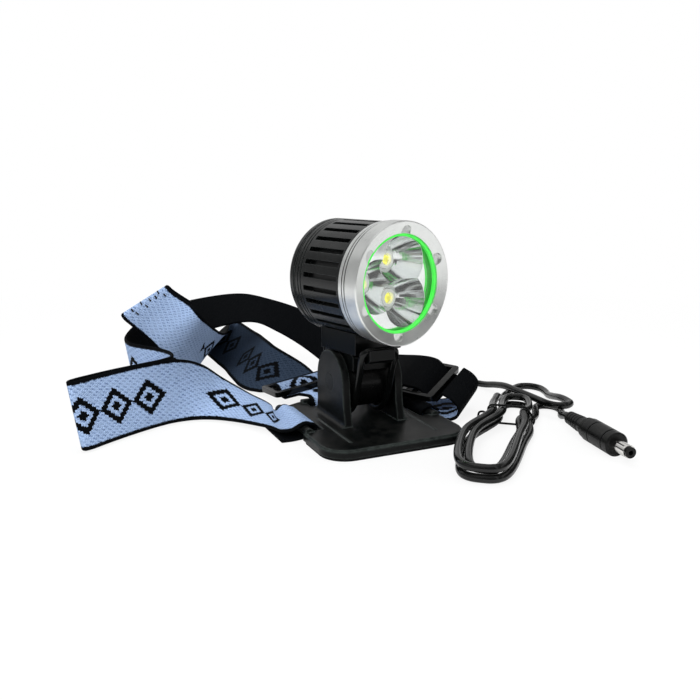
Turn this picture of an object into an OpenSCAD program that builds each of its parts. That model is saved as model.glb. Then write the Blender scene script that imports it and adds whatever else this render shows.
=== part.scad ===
// Head-worn miner's cap lamp: a round finned lamp on a swivelling, tilting mount,
// a base plate on elastic head straps, and a lead with a coaxial plug.
// X runs along the tilt bar, -Y is forward, +Z is up from the wearer's forehead.

/* [Lamp head] */
// Turn of the lamp on its swivel at rest, degrees
lamp_yaw = 14.6; // [-25:0.1:25]
// Radius of the finned housing
housing_r = 26; // [25.6:0.05:27]
// Length of the finned housing
housing_len = 30.5; // [28:0.5:36]
// Distance of the housing's front end from the swivel axis
housing_front = 17; // [16:0.25:18]
// Wall of the rear chamber
chamber_wall = 4.5; // [4.2:0.05:4.8]
// Step from the housing down to its threaded front collar
collar_step = 2; // [1.8:0.05:2.4]
// Wall of that collar
collar_wall = 2.1; // [1.8:0.05:2.3]
// Length of the front collar
collar_len = 5.5; // [5:0.1:6.5]
// Thickness of the wall between the two chambers
bulkhead_t = 3; // [2:0.25:4]
// Distance from the housing's front end to that wall
bulkhead_in = 7; // [6:0.25:8]
// Number of cooling slots
slots = 28; // [20:1:30]
// Width of a cooling slot
slot_w = 2.2; // [1.6:0.1:2.6]
// Depth of a cooling slot
slot_d = 3; // [2:0.1:3.2]
// Distance of the slots from each end of the housing
slot_end = 1; // [0.6:0.1:2]
// Solid band behind the slots
slot_rear = 6; // [4:0.25:7]

/* [Rear cap and switch] */
// Length of the rear cap outside the housing
cap_len = 5.2; // [4:0.1:7]
// Thickness of the rear cap's end wall
cap_wall = 2.2; // [1.8:0.1:2.6]
// Rounding of the rear cap's edge
cap_round = 2.5; // [1:0.25:3]
// Length of the cap's collar inside the housing
cap_collar_len = 4; // [3:0.25:6]
// Wall of that collar
cap_collar_t = 1.6; // [1.2:0.1:2]
// Depth of a fine ring groove
groove_d = 0.5; // [0.3:0.05:0.7]
// Width of a fine ring groove
groove_w = 0.7; // [0.5:0.05:0.9]
// Radius of the push button
button_r = 5.5; // [4.5:0.25:6.5]
// Height of the button above the rear face
button_proud = 1.5; // [1.2:0.1:2.5]
// Travel of the button
button_travel = 1; // [0.6:0.1:1.1]
// Clearance round the button
button_gap = 0.3; // [0.2:0.05:0.5]
// Thickness of the rear seal
rear_seal_t = 0.6; // [0.4:0.05:0.9]

/* [Bezel and optics] */
// How far the bezel stands out from the housing
bezel_over = 0.8; // [0.7:0.05:1.6]
// Overall length of the bezel
bezel_len = 11.9; // [11.5:0.1:14]
// Height of the black seal ring behind the bezel
bezel_seal_t = 0.75; // [0.5:0.05:0.9]
// Width of the bezel's face round its clear opening
face_w = 5.4; // [5:0.1:6]
// Thickness of the bezel's lip
lip_t = 0.8; // [0.6:0.05:1]
// Width of the bezel's rim edge
rim_w = 0.25; // [0.15:0.05:0.5]
// Number of scallops in the bezel's face
scallops = 6; // [4:1:8]
// Radius of a scallop
scallop_r = 2.6; // [1.8:0.1:2.8]
// How far the lens reaches out under the bezel's lip
lens_under = 1.4; // [1.2:0.05:1.5]
// Thickness of the lens
lens_t = 2.5; // [1.5:0.1:2.8]
// Width of the green ring
green_w = 2.6; // [2.2:0.1:4]
// Thickness of the green ring
green_t = 1.3; // [0.8:0.1:1.5]
// Thickness of the reflector's flange
refl_flange_t = 0.8; // [0.6:0.05:1]
// Distance of each emitter inside the green ring
led_in = 10.2; // [9.8:0.1:11]
// Angle of the first emitter, degrees
led_phase = 65; // [0:1:119]
// Focal length of a reflector bowl
bowl_f = 2.4; // [2.2:0.05:2.5]
// Side of an emitter's square body
led_size = 3.5; // [2.8:0.1:3.6]
// Height of an emitter's square body
led_h = 0.7; // [0.5:0.05:1]
// Radius of an emitter's dome
led_dome_r = 1.4; // [1:0.05:1.4]
// Thickness of the emitter board
board_t = 0.95; // [0.8:0.05:1.6]
// Outer radius of a centring ring
ring_r = 3.9; // [3.6:0.05:4]
// Height of a centring ring
ring_h = 1.8; // [1.2:0.1:2.2]

/* [Mount] */
// Height of the tilt bar's axis above the forehead
bar_z = 22; // [21.9:0.1:26]
// Radius of the tilt bar
bar_r = 12.5; // [11.5:0.1:12.6]
// Clear width between the ears
ear_gap = 22.6; // [22.2:0.1:26]
// Thickness of an ear
ear_t = 3.6; // [3:0.1:5]
// Radius of an ear round the tilt bar's axis
ear_r = 14.75; // [14:0.05:14.85]
// Radius of the bar's journals in the ears
journal_r = 4; // [3:0.1:6]
// Thickness of the rubber lining under the foot
lining_t = 1.2; // [0.8:0.05:1.6]
// Thickness of the foot over the top of the lining
crown_t = 1.2; // [1:0.05:1.6]
// Width of the foot along the bar
foot_w = 20.8; // [18:0.1:21]
// Half length of the foot across the bar
foot_half = 15.9; // [15:0.1:16]
// Width of each horn
horn_w = 12.2; // [10:0.1:12.4]
// Distance of the rubber ring's crossings from the swivel axis
ring_out = 21.3; // [21.2:0.05:22]
// Thickness of the rubber ring
oring_d = 3.3; // [2.6:0.05:3.4]
// Half distance between the rubber ring's two strands
strand_x = 8; // [7.9:0.05:8.2]
// Radius of the swivel post
post_r = 5; // [4:0.1:5.4]
// Length of the mount block behind the swivel axis
block_back = 11; // [10.8:0.1:11.5]
// Length of the mount block ahead of the swivel axis
block_front = 13.6; // [13:0.1:13.8]
// Width of the mount block
block_w = 27; // [24:0.25:27.2]
// Thickness of the block under the housing
block_h = 6; // [5.8:0.05:8]
// Radius of the swivel washer
washer_r = 6.6; // [6:0.1:6.8]
// Thickness of the swivel washer
washer_t = 0.5; // [0.4:0.05:0.8]
// Thread radius of the block screws
block_screw_r = 1.25; // [1:0.05:1.35]
// Thread radius of the swivel screw
swivel_screw_r = 1.25; // [1:0.05:1.6]

/* [Base plate] */
// Half width of the plate at its front
plate_half_w = 34; // [33.8:0.1:36]
// Front edge's distance from the bar's axis
plate_front = 45; // [40:0.5:50]
// Back edge's distance from the bar's axis
plate_back = 29.5; // [29.4:0.1:32]
// Radius of the plate's front corners
plate_corner = 12; // [8:0.5:14]
// Thickness of the plate
plate_t = 3.8; // [3.4:0.1:4.2]
// Thickness of the forehead pad
pad_t = 1.2; // [1.1:0.05:1.3]
// Half width of the forehead pad
pad_half_w = 23.6; // [20:0.2:23.8]
// Thickness of the strap bars
sbar_d = 4.4; // [4:0.1:4.6]
// Distance of the side strap bars from the middle
side_bar_x = 31.5; // [31.4:0.05:31.7]
// Length of the side strap slots
side_slot_len = 36; // [33:0.5:37]
// Middle of the side strap slots, along Y
side_slot_y = 3; // [2.5:0.1:3.6]
// Distance of the rear strap bar from the tilt axis
rear_bar_y = 27; // [26.8:0.05:27.2]
// Length of the rear strap slot
rear_slot_len = 33; // [31.5:0.25:34]
// Clear width of a strap slot
strap_slot = 4.9; // [4.4:0.1:5]

/* [Straps] */
// Width of the elastic webbing
strap_w = 30; // [29:0.25:30.4]
// Thickness of the elastic webbing
strap_t = 1.3; // [1:0.05:1.35]
// Length of a slider, across the strap
slider_len = 37.5; // [36:0.25:40]
// Depth of a slider, along the strap
slider_depth = 20; // [19:0.25:21]
// Thickness of a slider
slider_t = 2.6; // [2:0.1:2.6]
// Width of a slider's bars
slider_bar = 3.2; // [2.6:0.1:3.3]
// Radius of a stitch
stitch_r = 0.55; // [0.4:0.05:0.6]

/* [Lead and plug] */
// Diameter of the lead
lead_d = 3.5; // [3:0.05:3.5]
// Number of turns in the hank
hank_turns = 3; // [3:1:3]
// Length of the gland outside the rear cap
gland_len = 10; // [8:0.5:11]
// Radius of the gland
gland_r = 3.6; // [3:0.1:3.8]
// Distance of the gland below the lamp's axis
gland_drop = 15.2; // [14:0.1:15.6]
// Radius of the plug's body
plug_r = 5.25; // [5:0.05:5.25]
// Length of the plug's body
plug_len = 24.5; // [22:0.5:30]
// Length of the plug's strain relief
relief_len = 14; // [12:0.5:14]
// Diameter of the plug's barrel
barrel_d = 5.5; // [5.5:0.1:5.5]
// Length of the plug's barrel with its tip
barrel_len = 9.5; // [9:0.1:12]
// Diameter of the barrel's bore
barrel_bore = 2.1; // [2.1:0.1:2.5]

/* [Hidden] */
chamber_r = housing_r - chamber_wall;
collar_r = housing_r - collar_step;
front_bore_r = collar_r - collar_wall;
bezel_r = housing_r + bezel_over;
lip_r = bezel_r - face_w;
lens_r = lip_r + lens_under;
green_in_r = lens_r - green_w;
led_ring_r = green_in_r - led_in;
$fn = 96;
// clearances
fit = 0.05;
gap = 0.1;
ease = 0.3;
over = 1;
// heights of the mount
lining_in = bar_r + fit;
lining_out = lining_in + lining_t;
saddle_r = lining_out + fit;
foot_top = bar_z + saddle_r + crown_t;
block_z = foot_top + gap;
lamp_z = block_z + block_h + housing_r;
// stations along the lamp's axis, forward of the swivel axis
hs_back = housing_front - housing_len;
bulk_front = housing_front - bulkhead_in;
bulk_back = bulk_front - bulkhead_t;
collar_end = housing_front + collar_len;
cap_front = hs_back - rear_seal_t;
cap_back = cap_front - cap_len;
cap_in = cap_back + cap_wall;
bezel_back = housing_front + bezel_seal_t + fit;
bezel_front = bezel_back + bezel_len;
flange_back = collar_end + gap;
lens_back = flange_back + refl_flange_t + gap;
green_back = lens_back + lens_t + fit;
lip_back = green_back + green_t + fit;
lip_front = lip_back + lip_t;
pocket_r = lens_r + 2 * gap;
board_back = bulk_front + fit;
board_face = board_back + board_t;
driver_t = 1.6;
driver_back = hs_back + cap_collar_len + gap;
driver_face = driver_back + driver_t;
// swivel
post_top = block_z + 2.7;
ledge_z = block_z + 2.6;
washer_z = post_top + fit;
head_z = washer_z + washer_t + fit;
screw_head_r = 2.9;
screw_head_h = 1.7;
screw_reach = 3.2;
// block screws
bs_head_r = 2.2;
bs_head_h = 1.4;
bs_front = 8.6;
bs_back = -8.2;
bs_cover = 1.4;
// base plate
plate_top = pad_t + plate_t;
plate_mid_w = plate_half_w - 0.2;
plate_back_w = rear_slot_len / 2 + 3.5;
sbar_z = pad_t + 3.4;
sbar_r = sbar_d / 2;
side_slot_x = side_bar_x - sbar_r - strap_slot / 2;
side_x0 = side_bar_x - sbar_r - strap_slot;
side_y0 = side_slot_y - side_slot_len / 2;
side_y1 = side_slot_y + side_slot_len / 2;
rear_slot_y = rear_bar_y - sbar_r - strap_slot / 2;
flank_y = 3;
// rubber ring path
ring_r0 = oring_d / 2;
ring_z = foot_top + 2.5;
wrap_r = bar_r + ring_r0 + 0.15;
// strap sits on the bars with this much air
air = 0.35;
lift = strap_t / 2 + air;
sw = strap_w;
edge_y = side_slot_y - 0.5 - sw / 2;
bar_top = sbar_z + sbar_r + lift;
bar_low = sbar_z - sbar_r - lift;
floor_z = strap_t / 2 + 0.1;

// vectors
function unit(v) = v / norm(v);
function mix(a, b, t) = a + (b - a) * t;
function part3(v) = [v[0], v[1], v[2]];
function wide3(v) = [v[3], v[4], v[5]];
function knot(a, b) = sqrt(norm(part3(b) - part3(a))) + 0.001;
// centripetal curve through four stations
function span(p0, p1, p2, p3, u) =
    let (t1 = knot(p0, p1), t2 = t1 + knot(p1, p2), t3 = t2 + knot(p2, p3))
    let (t = t1 + (t2 - t1) * u)
    let (a1 = mix(p0, p1, t / t1), a2 = mix(p1, p2, (t - t1) / (t2 - t1)))
    let (a3 = mix(p2, p3, (t - t2) / (t3 - t2)))
    let (b1 = mix(a1, a2, t / t2), b2 = mix(a2, a3, (t - t1) / (t3 - t1)))
    mix(b1, b2, (t - t1) / (t2 - t1));
// stations doubled at the ends so that the curve reaches them
function ends(P) = concat([2 * P[0] - P[1]], P, [2 * P[len(P) - 1] - P[len(P) - 2]]);
function curve(P, k) =
    let (Q = ends(P), n = len(P))
    concat([for (i = [0:n - 2], j = [0:k - 1]) span(Q[i], Q[i + 1], Q[i + 2], Q[i + 3], j / k)],
        [P[n - 1]]);
function heading(P, i) = unit(part3(P[min(i + 1, len(P) - 1)]) - part3(P[max(i - 1, 0)]));
function path_len(P) = len(P) < 2 ? 0 :
    let (d = [for (i = [1:len(P) - 1]) norm(part3(P[i]) - part3(P[i - 1]))]) d * [for (x = d) 1];
// side vectors carried along a path without twist
function carry(P, i, s) =
    let (t = heading(P, i), v = unit(s - (s * t) * t))
    i == len(P) - 1 ? [v] : concat([v], carry(P, i + 1, v));

// round tube along points P, r = radius, n = sides, s0 = first side vector
module tube(P, r, n, s0) {
    S = carry(P, 0, s0);
    m = len(P);
    pts = [for (i = [0:m - 1]) let (t = heading(P, i), u = cross(t, S[i]))
        for (k = [0:n - 1]) P[i] + r * (cos(360 * k / n) * S[i] + sin(360 * k / n) * u)];
    side = [for (i = [0:m - 2], k = [0:n - 1]) let (a = i * n + k, b = i * n + (k + 1) % n)
        each [[a, b + n, b], [a, a + n, b + n]]];
    caps = [for (k = [1:n - 2]) each [[0, k, k + 1], [(m - 1) * n, (m - 1) * n + k + 1, (m - 1) * n + k]]];
    polyhedron(points = pts, faces = concat(side, caps), convexity = 12);
}

// closed round tube along points P about centre c
module loop_tube(P, r, n, c) {
    m = len(P);
    function out(i, t) = let (v = P[i] - c) unit(v - (v * t) * t);
    pts = [for (i = [0:m - 1]) let (t = unit(P[(i + 1) % m] - P[(i + m - 1) % m]), s = out(i, t))
        let (u = cross(t, s))
        for (k = [0:n - 1]) P[i] + r * (cos(360 * k / n) * s + sin(360 * k / n) * u)];
    side = [for (i = [0:m - 1], k = [0:n - 1])
        let (a = i * n + k, b = i * n + (k + 1) % n, q = ((i + 1) % m) * n)
        each [[a, q + (k + 1) % n, b], [a, q + k, q + (k + 1) % n]]];
    polyhedron(points = pts, faces = side, convexity = 12);
}

// flat webbing: each station is the near edge's point and the direction of its width
module webbing(P, w, t) {
    m = len(P);
    U = [for (i = [0:m - 1]) unit(wide3(P[i]))];
    N = [for (i = [0:m - 1]) unit(cross(heading(P, i), U[i]))];
    pts = [for (i = [0:m - 1]) let (b = part3(P[i]))
        each [b - N[i] * t / 2, b + U[i] * w - N[i] * t / 2, b + U[i] * w + N[i] * t / 2, b + N[i] * t / 2]];
    side = [for (i = [0:m - 2], k = [0:3]) let (a = i * 4 + k, b = i * 4 + (k + 1) % 4)
        each [[a, b + 4, b], [a, a + 4, b + 4]]];
    e = (m - 1) * 4;
    polyhedron(points = pts, faces = concat(side, [[0, 1, 2], [0, 2, 3], [e, e + 2, e + 1], [e, e + 3, e + 2]]),
        convexity = 12);
}

// places a piece drawn along its own forward axis into the lamp
module lamp() { translate([0, 0, lamp_z]) rotate([0, 0, lamp_yaw]) rotate([90, 0, 0]) children(); }
module turned() { rotate([0, 0, lamp_yaw]) children(); }
module ring(z0, z1, r0, r1) {
    translate([0, 0, z0]) difference() {
        cylinder(h = z1 - z0, r = r1);
        translate([0, 0, -over]) cylinder(h = z1 - z0 + 2 * over, r = r0);
    }
}

// ---- lamp head ----
module housing() {
    color("#1c1d1f") lamp() difference() {
        union() {
            translate([0, 0, hs_back]) cylinder(h = housing_len, r = housing_r);
            translate([0, 0, housing_front - over]) cylinder(h = collar_len + over, r = collar_r);
        }
        translate([0, 0, hs_back - over]) cylinder(h = bulk_back - hs_back + over, r = chamber_r);
        translate([0, 0, bulk_front]) cylinder(h = collar_end - bulk_front + over, r = front_bore_r);
        translate([0, 0, bulk_back - over]) cylinder(h = bulkhead_t + 2 * over, r = wire_hole_r);
        for (i = [0:slots - 1])
            rotate([0, 0, 360 * (i + 0.5) / slots - 90])
                translate([housing_r - slot_d, -slot_w / 2, hs_back + slot_rear])
                    cube([slot_d + over, slot_w, housing_len - slot_end - slot_rear]);
        for (z = [1, 2]) translate([0, 0, hs_back + z * slot_rear / 3 - groove_w / 2])
            ring(0, groove_w, housing_r - groove_d, housing_r + over);
        for (s = [bs_back, bs_front])
            translate([0, -housing_r - over, s]) rotate([-90, 0, 0])
                cylinder(h = housing_r + over - chamber_r - bs_cover + 0.4, r = block_screw_r + fit, $fn = 32);
    }
}
wire_hole_r = 1.6;

module rear_cap() {
    color("#1b1c1e") lamp() difference() {
        rotate_extrude() polygon(concat(
            [[0, cap_back]],
            [for (a = [0:15:90]) [housing_r - cap_round + cap_round * sin(a), cap_back + cap_round * (1 - cos(a))]],
            [[housing_r, cap_g1], [housing_r - groove_d, cap_g1], [housing_r - groove_d, cap_g1 + groove_w]],
            [[housing_r, cap_g1 + groove_w], [housing_r, cap_front]],
            [[cap_collar_r, cap_front], [cap_collar_r, driver_back - gap]],
            [[cap_collar_r - cap_collar_t, driver_back - gap], [cap_collar_r - cap_collar_t, cap_in], [0, cap_in]]));
        translate([0, 0, cap_back - over]) cylinder(h = cap_wall + 2 * over, r = button_r + button_gap);
        translate([0, -gland_drop, cap_back - over]) cylinder(h = cap_wall + 2 * over, r = gland_neck_r + fit);
    }
}
cap_collar_r = chamber_r - gap;
cap_g1 = cap_front - 1.1;

module rear_seal() {
    color("#0d0d0e") lamp() ring(hs_back - rear_seal_t + fit, hs_back - fit, chamber_r + gap, housing_r - 0.6);
}

module bezel_seal() {
    color("#0b0b0c") lamp() ring(housing_front + fit, housing_front + bezel_seal_t, collar_r + gap, housing_r);
}

// stepped ring with a dished face
module bezel() {
    g = bezel_back + 2;
    color("#c9ccd0") lamp() difference() {
        rotate_extrude() polygon([
            [collar_r + gap, bezel_back], [bezel_r - 0.5, bezel_back], [bezel_r - 0.5, g],
            [bezel_r - 0.5 - groove_d, g], [bezel_r - 0.5 - groove_d, g + groove_w], [bezel_r - 0.25, g + groove_w],
            [bezel_r - 0.25, g + 2], [bezel_r - 0.25 - groove_d, g + 2], [bezel_r - 0.25 - groove_d, g + 2 + groove_w],
            [bezel_r, g + 2 + groove_w], [bezel_r, bezel_front - 0.5], [bezel_r - 0.3, bezel_front],
            [bezel_r - 0.3 - rim_w, bezel_front], [lip_r, lip_front], [lip_r, lip_back], [pocket_r, lip_back],
            [pocket_r, flange_back], [collar_r + gap, flange_back]]);
        for (i = [0:scallops - 1])
            rotate([0, 0, 360 * i / scallops + scallop_phase])
                translate([lip_r + 0.9, 0, lip_front - 0.35]) cylinder(h = bezel_len, r = scallop_r, $fn = 48);
    }
}
scallop_phase = 25;

module lens() {
    color("#dfeef2", 0.35) lamp() translate([0, 0, lens_back]) cylinder(h = lens_t, r = lens_r);
}

module green_ring() {
    color("#35e02c") lamp() ring(green_back, green_back + green_t, green_in_r, lens_r);
}

// three bowls cut into one disc
module reflector() {
    base = board_face + gap;
    top = flange_back + refl_flange_t;
    z0 = led_z - bowl_f;
    color("#e4e6ea") lamp() difference() {
        union() {
            translate([0, 0, base]) cylinder(h = top - base, r = front_bore_r - 2 * gap);
            translate([0, 0, flange_back]) cylinder(h = refl_flange_t, r = lens_r);
        }
        for (i = [0:2]) rotate([0, 0, led_phase + 120 * i]) translate([led_ring_r, 0, 0]) {
            rotate_extrude($fn = 72) polygon(concat([[0, base - over]],
                [for (k = [0:14]) let (z = mix(base - 0.01, top + over, k / 14)) [sqrt(4 * bowl_f * (z - z0)), z]],
                [[0, top + over]]));
        }
    }
}
led_z = board_face + led_h;

module led_board() {
    color("#e9e9e4") lamp() difference() {
        translate([0, 0, board_back]) cylinder(h = board_t, r = front_bore_r - gap);
        translate([0, 0, board_back - over]) cylinder(h = board_t + 2 * over, r = wire_hole_r);
    }
}

module at_leds() {
    for (i = [0:2]) rotate([0, 0, led_phase + 120 * i]) translate([led_ring_r, 0, 0]) children();
}

module emitters() {
    color("#f2e04a") lamp() at_leds() {
        translate([-led_size / 2, -led_size / 2, board_face + 0.02]) cube([led_size, led_size, led_h]);
        translate([0, 0, led_z]) intersection() {
            sphere(r = led_dome_r, $fn = 48);
            translate([-led_size, -led_size, -0.2]) cube([2 * led_size, 2 * led_size, led_size]);
        }
    }
}

module centring_rings() {
    color("#f4f4f0") lamp() at_leds()
        ring(board_face + fit, board_face + ring_h, led_size * 0.72 + gap, ring_r);
}

module driver_board() {
    color("#1f6b3a") lamp() union() {
        translate([0, 0, driver_back]) cylinder(h = driver_t, r = chamber_r - 0.2);
        translate([10, 6, driver_face - 0.2]) cylinder(h = 6, r = 4, $fn = 48);
        translate([-14, -3, driver_face - 0.2]) cube([7, 9, 3]);
    }
}

module board_spacer() {
    color("#9a9da1") lamp() ring(driver_face + gap, bulk_back - gap, chamber_r - 1.6, chamber_r - gap);
}

// the button's skirt is kept behind the end wall; its stem ends one travel above the switch
module switch_button() {
    stem = cap_in + 1.5;
    color("#161617") lamp() union() {
        rotate_extrude() polygon([[0, cap_back - button_proud - 0.5], [button_r * 0.55, cap_back - button_proud - 0.3],
            [button_r - 0.6, cap_back - button_proud + 0.4], [button_r, cap_back - button_proud + 1.2],
            [button_r, cap_in + 0.5], [0, cap_in + 0.5]]);
        translate([0, 0, cap_in + gap]) cylinder(h = 0.9, r = button_r + 1.6);
        translate([0, 0, cap_in]) cylinder(h = stem - cap_in, r = 2);
    }
}
switch_top = cap_in + 1.5 + button_travel + 0.15;

module switch_body() {
    color("#2a2b2d") lamp() union() {
        translate([-3, -3, switch_top]) cube([6, 6, driver_back - fit - switch_top]);
    }
}

module cable_gland() {
    n = 4;
    pitch = (gland_len - 3) / n;
    color("#121213") lamp() translate([0, -gland_drop, 0]) difference() {
        union() {
            translate([0, 0, cap_back - 2]) cylinder(h = 2 - fit, r = gland_r);
            translate([0, 0, cap_back - gland_len]) cylinder(h = gland_len - 1, r = gland_neck_r);
            for (i = [0:n - 1])
                translate([0, 0, cap_back - gland_len + 0.4 + i * pitch]) cylinder(h = pitch * 0.6, r = gland_neck_r + 0.4);
            translate([0, 0, cap_back - 2]) cylinder(h = cap_wall + 2 + fit, r = gland_neck_r);
            translate([0, 0, cap_in + fit]) cylinder(h = 1, r = gland_neck_r + 0.9);
        }
    }
}
gland_neck_r = lead_d / 2 + 0.95;

// ---- mount ----
module mount_block() {
    color("#18191b") turned() difference() {
        translate([-block_w / 2, -block_front, block_z]) cube([block_w, block_front + block_back, lamp_z - housing_r * 0.85 - block_z]);
        translate([0, 0, lamp_z]) rotate([90, 0, 0]) translate([0, 0, -housing_len]) cylinder(h = 2 * housing_len, r = housing_r + gap);
        translate([0, 0, block_z - over]) cylinder(h = block_h + 3 * over, r = post_r + fit);
        translate([0, 0, ledge_z]) cylinder(h = housing_r, r = washer_r + ease);
        for (s = [bs_back, bs_front]) translate([0, -s, block_z - over]) {
            cylinder(h = block_h + 8, r = block_screw_r + fit, $fn = 32);
            cylinder(h = over + 0.3 + bs_head_h, r = bs_head_r + gap, $fn = 48);
        }
    }
}

module block_screws() {
    tip = lamp_z - chamber_r - bs_cover;
    color("#8d9094") turned() for (s = [bs_back, bs_front]) translate([0, -s, 0]) {
        translate([0, 0, block_z + 0.25]) difference() {
            cylinder(h = bs_head_h, r = bs_head_r, $fn = 48);
            translate([0, 0, -over]) cylinder(h = over + 0.8, r = 1, $fn = 6);
        }
        translate([0, 0, block_z + 1]) cylinder(h = tip - block_z - 1, r = block_screw_r, $fn = 32);
    }
}

module swivel_washer() {
    color("#b9bcc0") translate([0, 0, washer_z]) difference() {
        cylinder(h = washer_t, r = washer_r);
        translate([0, 0, -over]) cylinder(h = washer_t + 2 * over, r = swivel_screw_r + fit);
    }
}

module swivel_screw() {
    color("#9a9da1") union() {
        translate([0, 0, post_top - screw_reach]) cylinder(h = head_z - post_top + screw_reach + 0.1, r = swivel_screw_r);
        translate([0, 0, head_z]) difference() {
            cylinder(h = screw_head_h, r = screw_head_r);
            translate([0, 0, screw_head_h - 0.9]) cylinder(h = over, r = 1.2, $fn = 6);
        }
    }
}

// saddle with a round post on top and a horn fore and aft
module saddle_foot() {
    zb = bar_z + 8;
    color("#151617") difference() {
        union() {
            slab(foot_w, [[-foot_half, zb], [foot_half, zb], [foot_half, foot_top - 1.2], [foot_half - 1.2, foot_top],
                [1.2 - foot_half, foot_top], [-foot_half, foot_top - 1.2]]);
            for (m = [1, -1]) slab(horn_w, [for (p = horn) [m * p[0], p[1]]]);
            translate([0, 0, foot_top - over]) cylinder(h = post_top - foot_top + over, r = post_r);
        }
        translate([-foot_w, 0, bar_z]) rotate([0, 90, 0]) cylinder(h = 2 * foot_w, r = saddle_r);
        for (m = [1, -1]) translate([-foot_w, m * ring_out, ring_z]) rotate([0, 90, 0])
            cylinder(h = 2 * foot_w, r = ring_r0 + fit, $fn = 48);
        translate([0, lead_y, foot_top - 2 * over - 3]) cylinder(h = 12, r = lead_d / 2 + ease, $fn = 48);
        translate([0, 0, post_top - screw_reach - 0.4]) cylinder(h = screw_reach + over, r = swivel_screw_r + fit);
    }
}
// a horn's outline across the bar: root, tip, lip and the seat of the rubber ring
horn = [[foot_half - over, foot_top - 4.5], [ring_out + 1.2, foot_top - 2.6], [ring_out + 2.6, foot_top - 1.4],
    [ring_out + 2.6, ring_z + 0.6], [ring_out + 1.5, ring_z + 0.9], [ring_out, ring_z],
    [ring_out - ring_r0, foot_top - 0.2], [foot_half - over, foot_top - 0.2]];
lead_y = ring_out + ring_r0 + lead_d / 2 + 0.6;

// a plate of width w along X, cut to an outline in Y and Z
module slab(w, pts) { translate([-w / 2, 0, 0]) rotate([90, 0, 90]) linear_extrude(height = w) polygon(pts); }

module saddle_lining() {
    a = 36;
    n = 12;
    color("#222224") translate([-foot_w / 2 + 0.2, 0, bar_z]) rotate([90, 0, 90]) linear_extrude(height = foot_w - 0.4)
        difference() {
            circle(r = lining_out);
            circle(r = lining_in);
            translate([-2 * bar_r, -2 * bar_r]) square([4 * bar_r, 2 * bar_r + lining_in * sin(a)]);
        }
}

// ring path: crossing, down both sides to the bar, and round beneath it
ring_a = atan2(ring_z - bar_z, ring_out) - acos(wrap_r / norm([ring_out, ring_z - bar_z]));
function ring_arc(x, a0, a1, n) = [for (k = [0:n]) let (a = mix(a0, a1, k / n))
    [x, wrap_r * cos(a), bar_z + wrap_r * sin(a)]];
function ring_side(x, m, k) = let (c = [m * wrap_r * cos(ring_a), bar_z + wrap_r * sin(ring_a)])
    [x, mix(m * ring_out, c[0], k), mix(ring_z, c[1], k)];
ring_bend = strand_x - 2.2;
ring_path = concat(
    [for (k = [-2:2]) [ring_bend * k / 2, ring_out, ring_z]],
    [[strand_x - 0.65, ring_out - 0.15, ring_z - 0.65]],
    [for (k = [0.11, 0.5]) ring_side(strand_x, 1, k)],
    ring_arc(strand_x, ring_a, -180 - ring_a, 12),
    [for (k = [0.5, 0.11]) ring_side(strand_x, -1, k)],
    [[strand_x - 0.65, 0.15 - ring_out, ring_z - 0.65]],
    [for (k = [2:-1:-2]) [ring_bend * k / 2, -ring_out, ring_z]],
    [[0.65 - strand_x, 0.15 - ring_out, ring_z - 0.65]],
    [for (k = [0.11, 0.5]) ring_side(-strand_x, -1, k)],
    ring_arc(-strand_x, -180 - ring_a, ring_a, 12),
    [for (k = [0.5, 0.11]) ring_side(-strand_x, 1, k)],
    [[0.65 - strand_x, ring_out - 0.15, ring_z - 0.65]]);
module rubber_ring() {
    color("#0e0e0f") loop_tube(ring_path, ring_r0, 10, [0, 0, bar_z + 5]);
}

// ---- base ----
module plate_outline(g) {
    w = plate_half_w - g;
    c = plate_corner - g;
    union() {
        for (m = [1, -1]) translate([m * (w - c), -plate_front + g + c]) circle(r = c);
        polygon([[c - w, g - plate_front], [w - c, g - plate_front], [w, g + c - plate_front],
            [plate_mid_w - g, side_y1 + 2 - g], [plate_back_w - g, plate_back - g],
            [g - plate_back_w, plate_back - g], [g - plate_mid_w, side_y1 + 2 - g], [-w, g + c - plate_front]]);
    }
}

module base_plate() {
    ear_x = ear_gap / 2;
    color("#151617") difference() {
        union() {
            difference() {
                translate([0, 0, pad_t]) linear_extrude(height = plate_t - 0.8) plate_outline(0);
                strap_cuts();
            }
            difference() {
                translate([0, 0, pad_t + plate_t - 0.8]) linear_extrude(height = 0.8) plate_outline(0.7);
                strap_cuts();
            }
            for (m = [1, -1]) translate([m * side_bar_x, side_y0 - 2, sbar_z]) rotate([-90, 0, 0])
                cylinder(h = side_slot_len + 4, r = sbar_r, $fn = 48);
            translate([-rear_slot_len / 2 - 2, rear_bar_y, sbar_z]) rotate([0, 90, 0])
                cylinder(h = rear_slot_len + 4, r = sbar_r, $fn = 48);
            for (m = [1, -1]) translate([m * (ear_x + ear_t / 2), 0, 0]) {
                slab(ear_t, [[-ear_r - flank_y, plate_top - over], [ear_r, plate_top - over],
                    [ear_r, bar_z], [-ear_r, bar_z], [-ear_r - 0.6, bar_z - 8], [-ear_r - flank_y, plate_top]]);
                translate([-ear_t / 2, 0, bar_z]) rotate([0, 90, 0]) cylinder(h = ear_t, r = ear_r);
            }
            for (m = [1, -1]) rib(m * rib_x);
            for (m = [1, -1]) fillet(m, ear_x + ear_t);
        }
        for (m = [1, -1]) translate([m * ear_x, 0, bar_z]) rotate([0, m * 90, 0])
            translate([0, 0, -over]) cylinder(h = ear_t + 2 * over, r = journal_r + fit);
    }
}
rib_x = 20.5;
module strap_cuts() {
    for (m = [1, -1]) translate([m > 0 ? side_x0 : -side_x0 - 20, side_y0, -over]) cube([20, side_slot_len, 20]);
    translate([-rear_slot_len / 2, rear_bar_y - sbar_r - strap_slot, -over]) cube([rear_slot_len, 30, 20]);
}
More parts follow.
